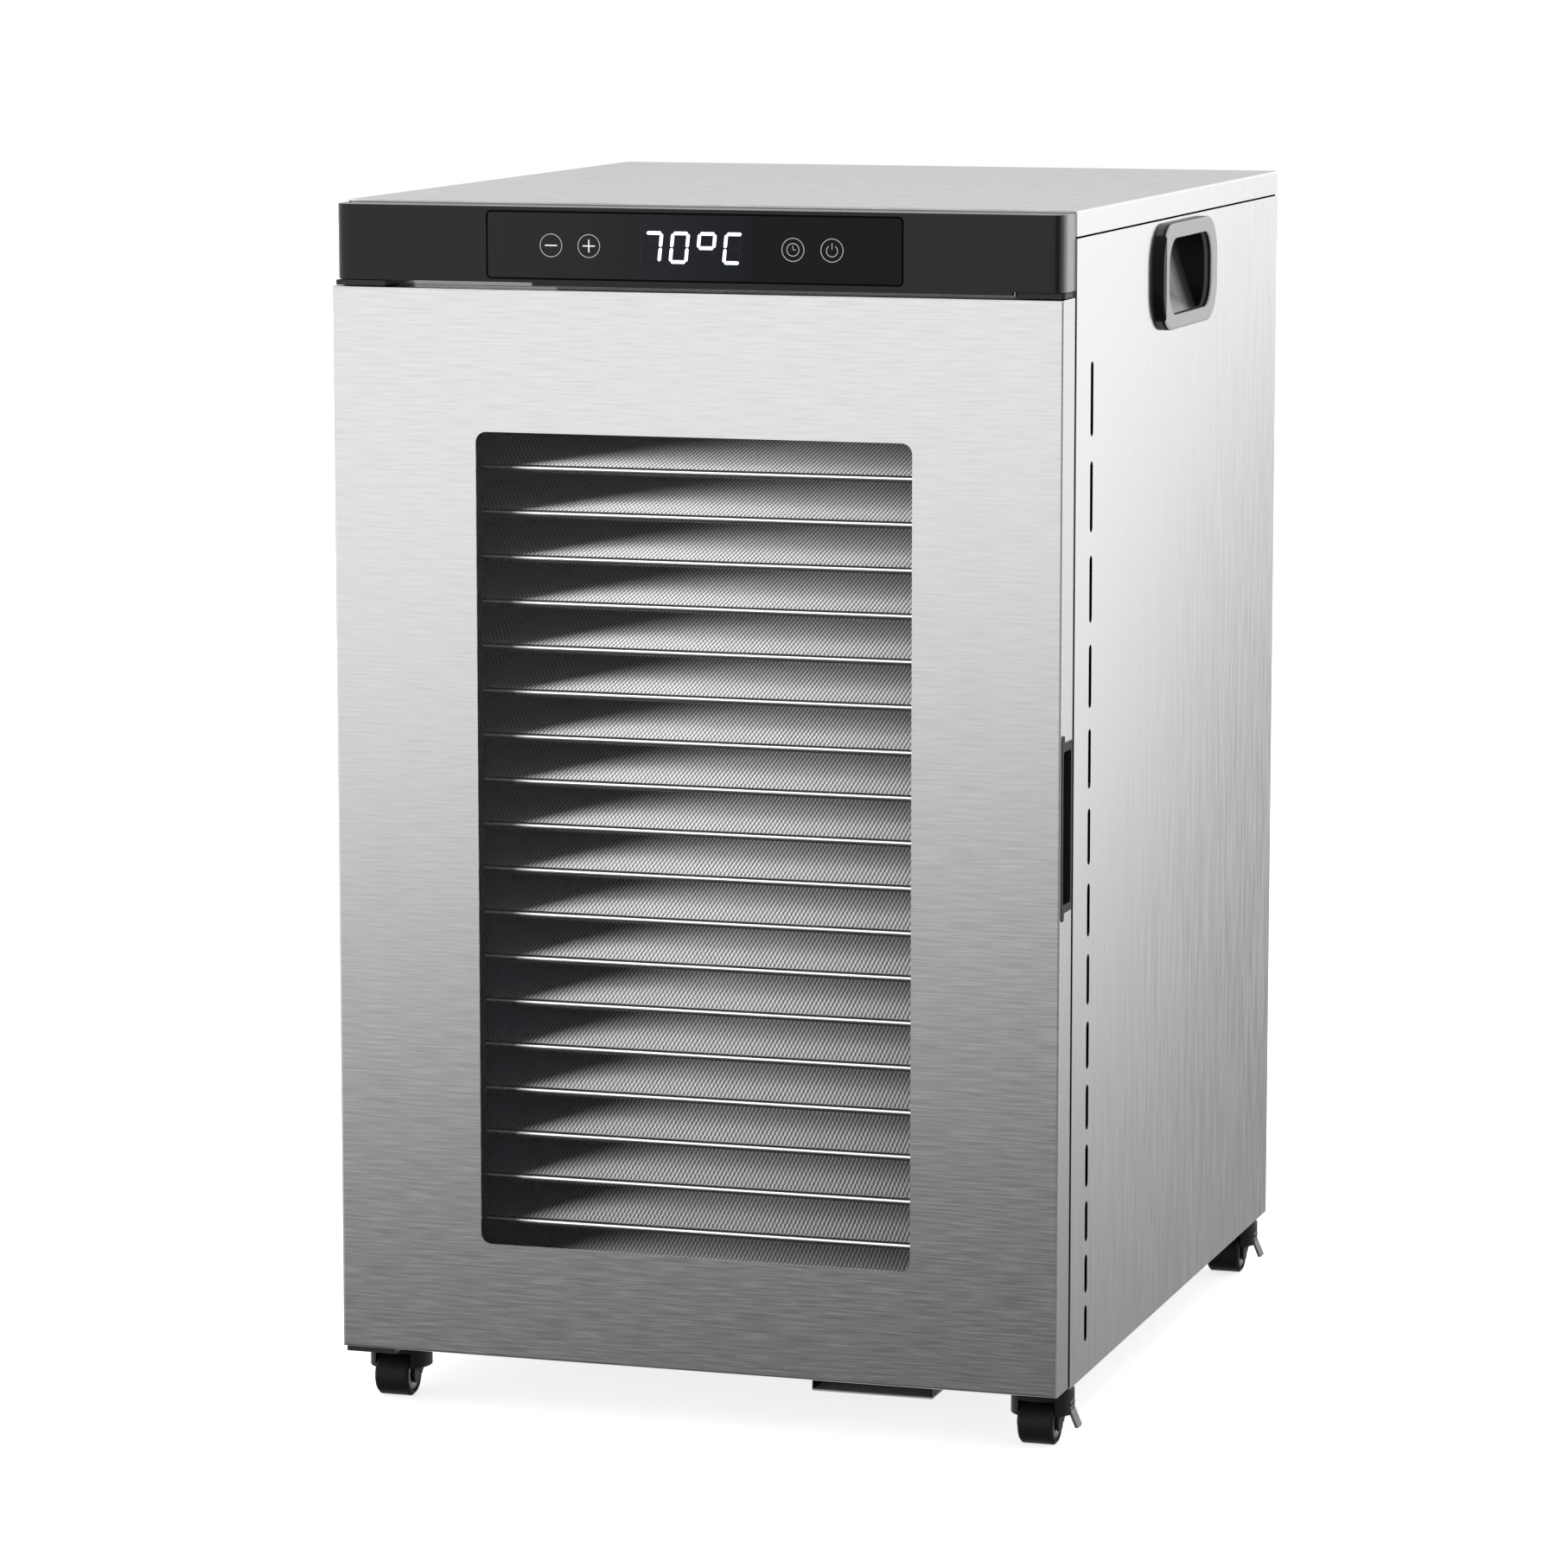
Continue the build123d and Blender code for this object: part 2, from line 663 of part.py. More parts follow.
# Door skin: a steel pan with the window, the pull's cut-out and the pin holes
pull_z = door_base_z + pull_rise + pull_length / 2
pull_mid_y = (door_front_y + door_back_y) / 2
pull_height = door_depth - 2 * (sheet + door_edge_radius)
with BuildPart() as door_skin:
    with BuildSketch(front_plane(door_back_y, 0, door_mid_z)):
        Rectangle(door_width, door_height)
    extrude(amount=door_depth)
    fillet(door_skin.faces().sort_by(Axis.Y)[0].edges(), door_edge_radius)
    offset(amount=-sheet, openings=door_skin.faces().sort_by(Axis.Y)[-1])
    with BuildSketch(front_plane(door_front_y + sheet, 0, window_mid_z)):
        RectangleRounded(window_width, window_height, window_radius)
    extrude(amount=sheet, mode=Mode.SUBTRACT)
    with BuildSketch(side_plane(door_x - sheet, pull_mid_y, pull_z)):
        Rectangle(pull_height, pull_length)
    extrude(amount=sheet, mode=Mode.SUBTRACT)
    for wall_z in (door_base_z, door_top_z - sheet):
        with BuildSketch(Plane.XY.offset(wall_z)):
            with Locations((hinge_x, hinge_y)):
                Circle(hinge_pin_radius + running_clearance)
        extrude(amount=sheet, mode=Mode.SUBTRACT)
write(door_skin, "door_skin")

# Door glass behind the skin
with BuildPart() as door_glass:
    glass_back_y = door_front_y + sheet + glass_thickness
    with BuildSketch(front_plane(glass_back_y, 0, window_mid_z)):
        glass_grow = 2 * glass_overlap
        RectangleRounded(window_width + glass_grow, window_height + glass_grow, window_radius)
    extrude(amount=glass_thickness)
write(door_glass, "door_glass")

# Door inner panel: closes the pan, holds the glass with a collar and carries the hinge blocks
with BuildPart() as door_inner_panel:
    collar_width = window_width + 2 * collar_setback
    collar_height = window_height + 2 * collar_setback
    with BuildSketch(front_plane(door_back_y)):
        with Locations((0, door_mid_z)):
            Rectangle(door_width - 2 * sheet, door_height - 2 * sheet)
        with Locations((0, window_mid_z)):
            RectangleRounded(collar_width, collar_height, window_radius, mode=Mode.SUBTRACT)
    extrude(amount=sheet)
    with BuildSketch(front_plane(door_back_y - sheet, 0, window_mid_z)):
        collar_grow = 2 * sheet
        RectangleRounded(collar_width + collar_grow, collar_height + collar_grow, window_radius + sheet)
        RectangleRounded(collar_width, collar_height, window_radius, mode=Mode.SUBTRACT)
    extrude(amount=door_back_y - sheet - glass_back_y)
    block_depth = door_depth - 2 * sheet - door_edge_radius
    block_y = door_back_y - sheet - block_depth / 2
    block_start = -door_x + sheet
    block_width = 2 * (hinge_from_edge - sheet) + hinge_open_side
    for block_z in (door_base_z + sheet, door_top_z - sheet - hinge_block):
        with BuildSketch(Plane.XY.offset(block_z)):
            with Locations((block_start + block_width / 2, block_y)):
                Rectangle(block_width, block_depth)
            with Locations((hinge_x, hinge_y)):
                Circle(hinge_pin_radius + running_clearance, mode=Mode.SUBTRACT)
        extrude(amount=hinge_block)
write(door_inner_panel, "door_inner_panel")

# Door gasket on the inner panel, facing the frame round the chamber mouth
with BuildPart() as door_gasket:
    gasket_depth = door_gap - gasket_squeeze_gap
    gasket_inner = 2 * gasket_inset
    gasket_outer = 2 * (gasket_inset + gasket_width)
    with BuildSketch(front_plane(door_back_y + gasket_depth, 0, chamber_mid_z)):
        RectangleRounded(
            chamber_width + gasket_outer, chamber_height + gasket_outer, gasket_inset + gasket_width
        )
        RectangleRounded(
            chamber_width + gasket_inner, chamber_height + gasket_inner, gasket_inset, mode=Mode.SUBTRACT
        )
    extrude(amount=gasket_depth)
write(door_gasket, "door_gasket")

# Door pull: a moulded pocket let into the door's free edge
with BuildPart() as door_pull:
    with BuildSketch(side_plane(door_x - pull_pocket, pull_mid_y, pull_z)):
        Rectangle(pull_height, pull_length)
    extrude(amount=pull_pocket)
    with BuildSketch(side_plane(door_x, pull_mid_y, pull_z)):
        rim_depth = door_depth - 2 * door_edge_radius
        Rectangle(rim_depth, pull_length + 2 * pull_rim)
        with Locations(((pull_tab_width - rim_depth) / 2, 0)):
            RectangleRounded(pull_tab_width, pull_length + 2 * pull_tab_reach, pull_tab_radius)
    extrude(amount=pull_rim_proud)
    with BuildSketch(side_plane(door_x - pull_pocket + pull_wall, pull_mid_y, pull_z)):
        RectangleRounded(pull_height - 2 * pull_wall, pull_length - 2 * pull_wall, pull_wall)
    extrude(amount=pull_pocket, mode=Mode.SUBTRACT)
write(door_pull, "door_pull")

# Hinge brackets: plates over and under the door with the pins, and flanges on the case's front
with BuildPart() as hinge_brackets:
    plate_start = hinge_flange_thickness - door_x
    plate_end = plate_start + hinge_plate_width
    plate_front_y = door_front_y + hinge_from_edge / 2
    flange_mid_x = plate_end - hinge_flange_width / 2
    for plate_z, pin_z, flange_z in (
        (
            door_top_z + hinge_plate_clearance,
            door_top_z + hinge_plate_clearance - hinge_pin_length,
            door_top_z + hinge_plate_clearance - hinge_flange_height,
        ),
        (
            door_base_z - hinge_plate_clearance - hinge_plate,
            door_base_z - hinge_plate_clearance,
            door_base_z - hinge_plate_clearance,
        ),
    ):
        with BuildSketch(Plane.XY.offset(plate_z)):
            with Locations(((plate_start + plate_end) / 2, (plate_front_y + front_y) / 2)):
                Rectangle(hinge_plate_width, front_y - plate_front_y)
        extrude(amount=hinge_plate)
        with BuildSketch(Plane.XY.offset(pin_z)):
            with Locations((hinge_x, hinge_y)):
                Circle(hinge_pin_radius)
        extrude(amount=hinge_pin_length)
        with BuildSketch(Plane.XY.offset(flange_z)):
            with Locations((flange_mid_x, front_y - hinge_flange_thickness / 2)):
                Rectangle(hinge_flange_width, hinge_flange_thickness)
        extrude(amount=hinge_flange_height)
write(hinge_brackets, "hinge_brackets")

# Casters: a plate with a king pin on the case, a swivelling fork and a wheel, with brakes on the right-hand side
caster_x = side_x - caster_side_inset
caster_front_y = front_y + caster_edge + caster_plate_depth / 2
caster_back_y = back_y - caster_edge - caster_plate_depth / 2
plate_base_z = base_z - caster_plate_thickness
crown_top_z = plate_base_z - crown_gap
crown_base_z = crown_top_z - crown_height
bowl_rim_z = crown_top_z - bowl_rim_drop
king_head_z = crown_base_z + crown_gap
king_seat_z = king_head_z + king_head_height + crown_gap / 2
axle_z = wheel_radius
leg_inner = wheel_width / 2 + wheel_gap
leg_outer = leg_inner + fork_leg
caster_places = {
    "front_left": (-caster_x, caster_front_y),
    "front_right": (caster_x, caster_front_y),
    "rear_left": (-caster_x, caster_back_y),
    "rear_right": (caster_x, caster_back_y),
}

with BuildPart() as caster_plates:
    for pivot_x, pivot_y in caster_places.values():
        with BuildSketch(Plane.XY.offset(plate_base_z)):
            with Locations((pivot_x, pivot_y)):
                RectangleRounded(caster_plate_width, caster_plate_depth, 2 * caster_plate_thickness)
        extrude(amount=caster_plate_thickness)
        with BuildSketch(Plane.XY.offset(king_head_z)):
            with Locations((pivot_x, pivot_y)):
                Circle(king_pin_radius)
        extrude(amount=plate_base_z - king_head_z)
        with BuildSketch(Plane.XY.offset(king_head_z)):
            with Locations((pivot_x, pivot_y)):
                Circle(king_head_radius)
        extrude(amount=king_head_height)
write(caster_plates, "caster_plates")

for caster_name, (pivot_x, pivot_y) in caster_places.items():
    axle_y = pivot_y - caster_trail
    lever_x = pivot_x + leg_outer + lever_pivot_out
    lever_z = axle_z + lever_pivot_rise
    braked = pivot_x > 0

    # Fork: a bowl turned round the king pin, cut out for the wheel and any lever, with two legs and the axle
    with BuildPart() as fork:
        with BuildSketch(front_plane(pivot_y, pivot_x)):
            bowl_base_z = bowl_rim_z - bowl_curve_drop
            with BuildLine():
                Polyline(
                    (leg_outer, bowl_base_z),
                    (king_head_radius + crown_gap, bowl_base_z),
                    (king_head_radius + crown_gap, king_seat_z),
                    (king_pin_radius + running_clearance, king_seat_z),
                    (king_pin_radius + running_clearance, crown_top_z),
                    (crown_radius - crown_bevel, crown_top_z),
                    (crown_radius, crown_top_z - crown_bevel),
                    (crown_radius, bowl_rim_z),
                )
                ThreePointArc(
                    (crown_radius, bowl_rim_z),
                    (
                        (crown_radius + leg_outer) / 2 - bowl_curve_pull,
                        (bowl_rim_z + bowl_base_z) / 2 + bowl_curve_pull,
                    ),
                    (leg_outer, bowl_base_z),
                )
            make_face()
        revolve(axis=Axis((pivot_x, pivot_y, 0), (0, 0, 1)))
        with BuildSketch(Plane.XY):
            with Locations((pivot_x, pivot_y)):
                Rectangle(2 * leg_inner, 2 * crown_radius)
        extrude(amount=crown_base_z, mode=Mode.SUBTRACT)
        if braked:
            with BuildSketch(Plane.XY):
                with Locations((pivot_x + leg_outer + crown_radius / 2, pivot_y)):
                    Rectangle(crown_radius, lever_width + 2 * ear_gap)
            extrude(amount=lever_z + lever_eye_radius + lever_headroom, mode=Mode.SUBTRACT)
        for side in (-1, 1):
            leg_x = pivot_x + (leg_inner if side > 0 else -leg_outer)
            with BuildSketch(side_plane(leg_x, pivot_y)):
                with BuildLine():
                    Polyline(
                        (-fork_leg_width / 2, crown_base_z),
                        (fork_leg_width / 2, crown_base_z),
                        (fork_eye_radius - caster_trail, axle_z),
                        (-fork_eye_radius - caster_trail, axle_z),
                        close=True,
                    )
                make_face()
                with Locations((-caster_trail, axle_z)):
                    Circle(fork_eye_radius)
                with Locations((0, crown_base_z + crown_gap)):
                    Rectangle(fork_leg_width, 2 * crown_gap)
            extrude(amount=fork_leg)
        with BuildSketch(side_plane(pivot_x - leg_inner, axle_y, axle_z)):
            Circle(axle_radius)
        extrude(amount=2 * leg_inner)
        if braked:
            with BuildSketch(front_plane(pivot_y + lever_width / 2 + ear_gap, lever_x, lever_z)):
                Circle(lever_pin_radius)
            extrude(amount=lever_width + 2 * ear_gap)
    write(fork, f"{caster_name}_fork")

    # Wheel: turned tyre with a bevelled tread and a recess round the hub on both faces
    with BuildPart() as wheel:
        half = wheel_width / 2
        with BuildSketch(front_plane(axle_y, pivot_x, axle_z)):
            with BuildLine():
                Polyline(
                    (-half, axle_radius + running_clearance),
                    (-half, wheel_recess_inner),
                    (-half + wheel_recess, wheel_recess_inner),
                    (-half + wheel_recess, wheel_recess_outer),
                    (-half, wheel_recess_outer),
                    (-half, wheel_radius - wheel_bevel),
                    (-half + wheel_bevel, wheel_radius),
                    (half - wheel_bevel, wheel_radius),
                    (half, wheel_radius - wheel_bevel),
                    (half, wheel_recess_outer),
                    (half - wheel_recess, wheel_recess_outer),
                    (half - wheel_recess, wheel_recess_inner),
                    (half, wheel_recess_inner),
                    (half, axle_radius + running_clearance),
                    close=True,
                )
            make_face()
        revolve(axis=Axis((pivot_x, axle_y, axle_z), (1, 0, 0)))
    write(wheel, f"{caster_name}_wheel")

    # Brake lever: an eye on the fork's pin and a tab that leans out
    if braked:
        with BuildPart() as brake_lever:
            with BuildSketch(front_plane(pivot_y + lever_width / 2, lever_x, lever_z)):
                with BuildLine():
                    Polyline(
                        (-lever_sheet / 2, 0),
                        (lever_sheet / 2, 0),
                        (lever_reach + lever_sheet / 2, -lever_fall),
                        (lever_reach - lever_sheet / 2, -lever_fall),
                        close=True,
                    )
                make_face()
                Circle(lever_eye_radius)
                Circle(lever_pin_radius + running_clearance, mode=Mode.SUBTRACT)
            extrude(amount=lever_width)
        write(brake_lever, f"{caster_name}_brake_lever")

# Trays: a rim of stainless rod with the mesh set level with its top
for i in range(tray_count):
    tray_z = first_tray_z + i * tray_pitch
    tray_y = front_y + tray_setback + tray_depth / 2
    with BuildPart() as tray:
        with BuildSketch(Plane((0, tray_y, tray_z))):
            RectangleRounded(tray_width, tray_depth, tray_corner)
            inner_corner = tray_corner - tray_rim
            RectangleRounded(
                tray_width - 2 * tray_rim, tray_depth - 2 * tray_rim, inner_corner, mode=Mode.SUBTRACT
            )
        extrude(amount=tray_rim)
        with BuildSketch(Plane((0, tray_y, tray_z + tray_rim - mesh_thickness))):
            Rectangle(tray_width - tray_rim, tray_depth - tray_rim)
        extrude(amount=mesh_thickness)
    write(tray, f"tray_{i + 1:02d}")
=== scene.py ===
"""Looks of the cabinet food dehydrator: materials, wire trays, display, wheel hubs and studio.

Lengths are in metres.
"""

from math import cos, pi, radians, sin, tau

import bpy
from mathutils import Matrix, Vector


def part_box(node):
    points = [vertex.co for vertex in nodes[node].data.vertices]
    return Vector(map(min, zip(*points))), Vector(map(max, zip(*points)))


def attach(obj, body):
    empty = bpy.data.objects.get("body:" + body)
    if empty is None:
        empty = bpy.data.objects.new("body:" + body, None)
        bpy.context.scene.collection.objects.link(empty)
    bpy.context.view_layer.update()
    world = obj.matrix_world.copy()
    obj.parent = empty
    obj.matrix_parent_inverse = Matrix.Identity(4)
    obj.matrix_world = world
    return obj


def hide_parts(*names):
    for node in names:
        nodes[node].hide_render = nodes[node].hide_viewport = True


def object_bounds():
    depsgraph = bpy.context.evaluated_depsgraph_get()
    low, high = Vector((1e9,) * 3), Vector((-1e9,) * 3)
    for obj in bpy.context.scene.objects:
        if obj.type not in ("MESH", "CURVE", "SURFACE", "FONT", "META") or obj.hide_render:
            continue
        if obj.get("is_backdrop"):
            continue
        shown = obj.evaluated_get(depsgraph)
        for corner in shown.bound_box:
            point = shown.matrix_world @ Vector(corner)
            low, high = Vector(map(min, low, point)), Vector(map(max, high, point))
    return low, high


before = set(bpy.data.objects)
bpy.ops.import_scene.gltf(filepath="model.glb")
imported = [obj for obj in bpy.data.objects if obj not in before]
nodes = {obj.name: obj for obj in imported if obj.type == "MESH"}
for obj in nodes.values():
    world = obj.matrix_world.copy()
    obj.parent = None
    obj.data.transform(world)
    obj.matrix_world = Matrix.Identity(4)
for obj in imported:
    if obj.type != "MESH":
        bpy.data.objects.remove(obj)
cad_low, cad_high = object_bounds()
MM = 0.001
ACROSS, BACKWARDS, UP = Vector((1, 0, 0)), Vector((0, 1, 0)), Vector((0, 0, 1))

# Camera, at the photograph's viewing angle; angles in degrees
CAMERA_PLACE = (1.1255, -3.7105, 0.9217)
CAMERA_TURN = 17.281
CAMERA_TILT = 8.313
CAMERA_LENS = 142.1
CAMERA_SENSOR = 36.0
CAMERA_REACH = 100.0

# Trays. The rim's greys, a painted highlight and painted shade, go by height in shares of its
# radius; the mesh's painted shade goes by the tray's height.
RIM_SIDES = 12
RIM_CORNER = 8.0 * MM
RIM_CORNER_STEPS = 5
# Painted highlight and shade on the rim rod: a bright line on its upper front, dark above and below
RIM_PAINTED_LIGHT_AND_SHADE = (
    (-1.0, 0.005), (-0.25, 0.006), (-0.1, 0.035), (0.08, 0.05),
    (0.12, 0.32), (0.5, 0.32), (0.56, 0.006), (1.0, 0.006),
)
RIM_ROUGHNESS = 0.25
WIRE_RADIUS = 0.42 * MM
WIRE_PITCH = 2.6 * MM
WIRE_SIDES = 6
# Painted light and shade of the weave's over and under passes, as a staggered check
WIRE_PAINTED_LIGHT = (0.84, 0.84, 0.83, 1)
WIRE_PAINTED_SHADE = (0.05, 0.05, 0.05, 1)
WIRE_METAL = 0.35
WEAVE_CELL = (1.3 * MM, 6.5 * MM)
# Painted shade: the mesh's colour darkens on lower trays
TRAY_PAINTED_SHADE = ((0.08, 0.28), (0.30, 0.64), (0.60, 1.0))

# Display and touch signs
DIGIT_HEIGHT = 18.8 * MM
DIGIT_WIDTH = 11.6 * MM
DIGIT_STEP = 16.4 * MM
DIGIT_SLANT = 0.10
SEGMENT = 2.1 * MM
SEGMENT_GAP = 0.25 * MM
SEGMENT_END_STEPS = 6
SEGMENTS_ON = {"7": (0, 1, 2), "0": (0, 1, 2, 3, 4, 5), "degree": (0, 1, 5, 6), "C": (0, 3, 4, 5)}
READING = ("7", "0", "degree", "C")
SIGN_PROUD = 0.08 * MM
SIGN_RADIUS = 6.7 * MM
RING_LINE = 0.45 * MM
MARK_LINE = 0.7 * MM
MARK_ARM = 0.56 * SIGN_RADIUS
SIGN_PLACES = (-87.6 * MM, -64.1 * MM, 61.2 * MM, 84.9 * MM)
CLOCK_RADIUS = 0.55 * SIGN_RADIUS
CLOCK_HANDS = (0.36 * SIGN_RADIUS, 0.27 * SIGN_RADIUS)
POWER_RADIUS = 0.5 * SIGN_RADIUS
POWER_DROP = 0.05 * SIGN_RADIUS
POWER_ARC = (radians(125), radians(415))
POWER_BAR = (0.08 * SIGN_RADIUS, 0.62 * SIGN_RADIUS)
RING_STEPS, CLOCK_STEPS, POWER_STEPS = 48, 32, 28

# Wheel hub covers
HUB_INNER, HUB_SLOPE, HUB_SHOULDER, HUB_OUTER = 4.6 * MM, 6.0 * MM, 9.2 * MM, 10.2 * MM
HUB_LOW, HUB_HIGH = 1.2 * MM, 1.7 * MM
HUB_SINK = 0.2 * MM
HUB_STEPS = 28
HUB_PROFILE = (
    (-HUB_SINK, HUB_INNER), (HUB_LOW, HUB_INNER), (HUB_HIGH, HUB_SLOPE),
    (HUB_HIGH, HUB_SHOULDER), (HUB_LOW, HUB_OUTER), (-HUB_SINK, HUB_OUTER),
)
WHEEL_RECESS = 2.0 * MM

# Steel. A grain gives the noise's scale per metre along X, Y and Z, a contrast its two levels.
STEEL = (0.82, 0.82, 0.815)
GRAIN_ALONG_X = (38, 800, 800)
GRAIN_ALONG_Z = (800, 800, 30)
SIDE_GRAIN = (420, 420, 22)
TOP_GRAIN = (50, 330, 330)
TOP_CONTRAST = (0.56, 1.20)
# Painted shade: how far the cover's top darkens towards the back
TOP_PAINTED_BACK_SHADE = 0.32
TOP_FADE = (0.6 * MM, 0.1 * MM)
STEEL_RELIEF = 0.004 * MM
# Painted shade on the steel beyond the door's side edges
EDGE_PAINTED_SHADE = 0.84
EDGE_INSET = 0.4 * MM
EDGE_FADE = 0.2 * MM
METAL_CONTRAST = (0.9, 1.05)
METAL_CLOUD = 180.0
SHEET = 1.0 * MM

# Plastics
FINE_GRAIN = 2200.0
GRAIN_RELIEF = 0.02 * MM
GRAIN_CONTRAST = (0.85, 1.15)
# Painted sheen: the fascia's black is lighter to the left
FASCIA_PAINTED_SHEEN = ((-0.13, 0.026), (-0.06, 0.022), (0.03, 0.006), (0.13, 0.004))
FASCIA_SHINE = 0.14
# A painted blue glow on the fascia round the lit digits
PAINTED_GLOW = (0.004, 0.008, 0.026)
PAINTED_GLOW_STRENGTH = 0.25
PAINTED_GLOW_FADE = (5 * MM, 2 * MM)
HOUSING_BLACK = 0.006
HOUSING_ROUGHNESS = 0.2
# Painted highlights: the black housing goes grey towards its ends
HOUSING_PAINTED_ENDS = ((3.6 * MM, HOUSING_BLACK), (1.6 * MM, 0.13), (0.0, 0.42))
POCKET_EDGE = 1.3 * MM
POCKET_FADE = 0.3 * MM
POCKET_ROUGHNESS = 1.0

# Carry handles: the rim's painted light, and the cup's painted light and shade, which go by a
# slanting distance in mm
HANDLE_PAINTED_LIGHT = 0.68
HANDLE_BLACK = 0.006
HANDLE_FOOT_PAINTED_LIGHT = 0.12
HANDLE_FOOT = (1.8 * MM, 2.4 * MM)
HANDLE_FACE_INSET = 0.7 * MM
HANDLE_FACE_FADE = 0.6 * MM
HANDLE_DARK_FRONT = 8.3 * MM
HANDLE_FRONT_FADE = 0.5 * MM
CUP_RISE = 1.1
CUP_DEPTH = 3.3
CUP_PAINTED_LIGHT_AND_SHADE = ((-60, 0.95), (-22, 0.85), (-3, 0.10), (12, 0.004))
CUP_FADE = 0.3 * MM

# Pieces in two colours; the chamber walls' black outside and the channel's dark sides are painted
# shade
WALL_STEEL_AND_PAINTED_SHADE = (0.55, 0.004)
WALL_FADE = 0.1 * MM
LEVER_ZINC = (0.17, 0.17, 0.16)
LEVER_BLACK = 0.015
LEVER_SHARE = 0.62
LEVER_FADE = 0.3 * MM
# A pale bottom sheet and sides darkened as painted shade
CHANNEL_PALE_AND_PAINTED_SHADE = (0.62, 0.006)
CHANNEL_FADE = 0.2 * MM

# Studio: brightness of the walls by the sine of the elevation, and how far each wall's shading
# tilts sideways; the even wall behind the left, the dark one on the right, and the trays' lamp
FRONT_WALL = (
    (-0.5, 0.10), (-0.30, 0.12), (-0.25, 0.15), (-0.229, 0.187), (-0.21, 0.28), (-0.19, 0.405),
    (-0.171, 0.585), (-0.152, 0.74), (-0.132, 0.865), (-0.112, 0.96), (-0.09, 1.0),
    (-0.07, 0.99), (0.5, 0.9),
)
FRONT_TILT = (-0.17, -0.366, -0.04, 0.04)
BACK_WALL = (
    (-0.5, 0.25), (-0.23, 0.27), (-0.20, 0.29), (-0.175, 0.355), (-0.155, 0.465), (-0.135, 0.61),
    (-0.115, 0.79), (-0.095, 0.95), (-0.075, 1.08), (-0.03, 1.16), (0.5, 1.1),
)
BACK_TILT = (3.2, 0.242, -0.055, 0.065)
BACK_LEFT_WALL = 0.68
BACK_LEFT_FADE = (-0.12, 0.06)
RIGHT_WALL = 0.25
RIGHT_FADE = (0.3, 0.7)
FRONT_TO_BACK = (0.05, 0.5)
FLOOR_HALF = 12.0
FLOOR_COLOUR = (0.9, 0.9, 0.9, 1)
FLOOR_ROUGHNESS = 0.9
FLOOR_GLOW = 0.75
LIGHT_TARGET = (0, -0.2, 0.4)
LIGHT_PLACE = (-1.6, -3.4, 1.0)
LIGHT_SIZE = (1.4, 1.6)
LIGHT_POWER = 1100


# Meshes

def mesh_object(name, verts, faces, smooth=False, slots=None):
    """A new mesh object in the scene; smooth shading is for its four-sided faces."""
    mesh = bpy.data.meshes.new(name)
    mesh.from_pydata(verts, [], faces)
    mesh.validate()
    for i, polygon in enumerate(mesh.polygons):
        polygon.use_smooth = smooth and len(polygon.vertices) == 4
        if slots:
            polygon.material_index = slots[i]
    obj = bpy.data.objects.new(name, mesh)
    bpy.context.scene.collection.objects.link(obj)
    return obj


def prism(outline, depth, place, across, up):
    """Corners and faces of a flat outline pushed out by depth; across and up span the outline."""
    out = across.cross(up).normalized()
    count = len(outline)
    front = [place + across * x + up * y + out * depth for x, y in outline]
    back = [place + across * x + up * y for x, y in outline]
    faces = [tuple(range(count)), tuple(range(2 * count - 1, count - 1, -1))]
    for i in range(count):
        j = (i + 1) % count
        faces.append((i, count + i, count + j, j))
    return front + back, faces


def merge(parts):
    """One list of corners and one of faces from several."""
    verts, faces = [], []
    for some_verts, some_faces in parts:
        start = len(verts)
        verts += some_verts
        faces += [tuple(start + i for i in face) for face in some_faces]
    return verts, faces


def circle(side, up, radius, sides):
    """Offsets round a circle, from the side towards up."""
    turns = [tau * k / sides for k in range(sides)]
    return [(side * cos(turn) + up * sin(turn)) * radius for turn in turns]


def rod(start, end, radius, sides, up):
    """A straight rod with closed ends."""
    along = (end - start).normalized()
    ring = circle(along.cross(up).normalized(), up, radius, sides)
    verts = [start + r for r in ring] + [end + r for r in ring]
    faces = [(k, sides + k, sides + (k + 1) % sides, (k + 1) % sides) for k in range(sides)]
    faces.append(tuple(range(sides)))
    faces.append(tuple(range(2 * sides - 1, sides - 1, -1)))
    return verts, faces


def ring_rod(path, radius, sides):
    """A rod that follows a closed flat path, given as points with their outward directions."""
    verts, faces = [], []
    for point, out in path:
        verts += [point + offset for offset in circle(out, UP, radius, sides)]
    count = len(path)
    for i in range(count):
        j = (i + 1) % count
        for k in range(sides):
            n = (k + 1) % sides
            faces.append((i * sides + k, j * sides + k, j * sides + n, i * sides + n))
    return verts, faces


def rounded_path(half_x, half_y, radius, steps):
    """Points and outward directions round a rectangle with round corners."""
    path = []
    for quarter, (sx, sy) in enumerate(((1, 1), (-1, 1), (-1, -1), (1, -1))):
        centre = Vector((sx * (half_x - radius), sy * (half_y - radius), 0))
        for step in range(steps + 1):
            turn = pi / 2 * (quarter + step / steps)
            out = Vector((cos(turn), sin(turn), 0))
            path.append((centre + out * radius, out))
    return path


def turned(profile, place, axis, steps):
    """A ring turned about an axis; the profile is a closed loop of (along, radius)."""
    side = axis.orthogonal().normalized()
    other = axis.cross(side)
    verts, faces = [], []
    for along, radius in profile:
        verts += [place + axis * along + offset for offset in circle(side, other, radius, steps)]
    for row in range(len(profile)):
        after = (row + 1) % len(profile)
        for k in range(steps):
            n = (k + 1) % steps
            faces.append((row * steps + k, row * steps + n, after * steps + n, after * steps + k))
    return verts, faces


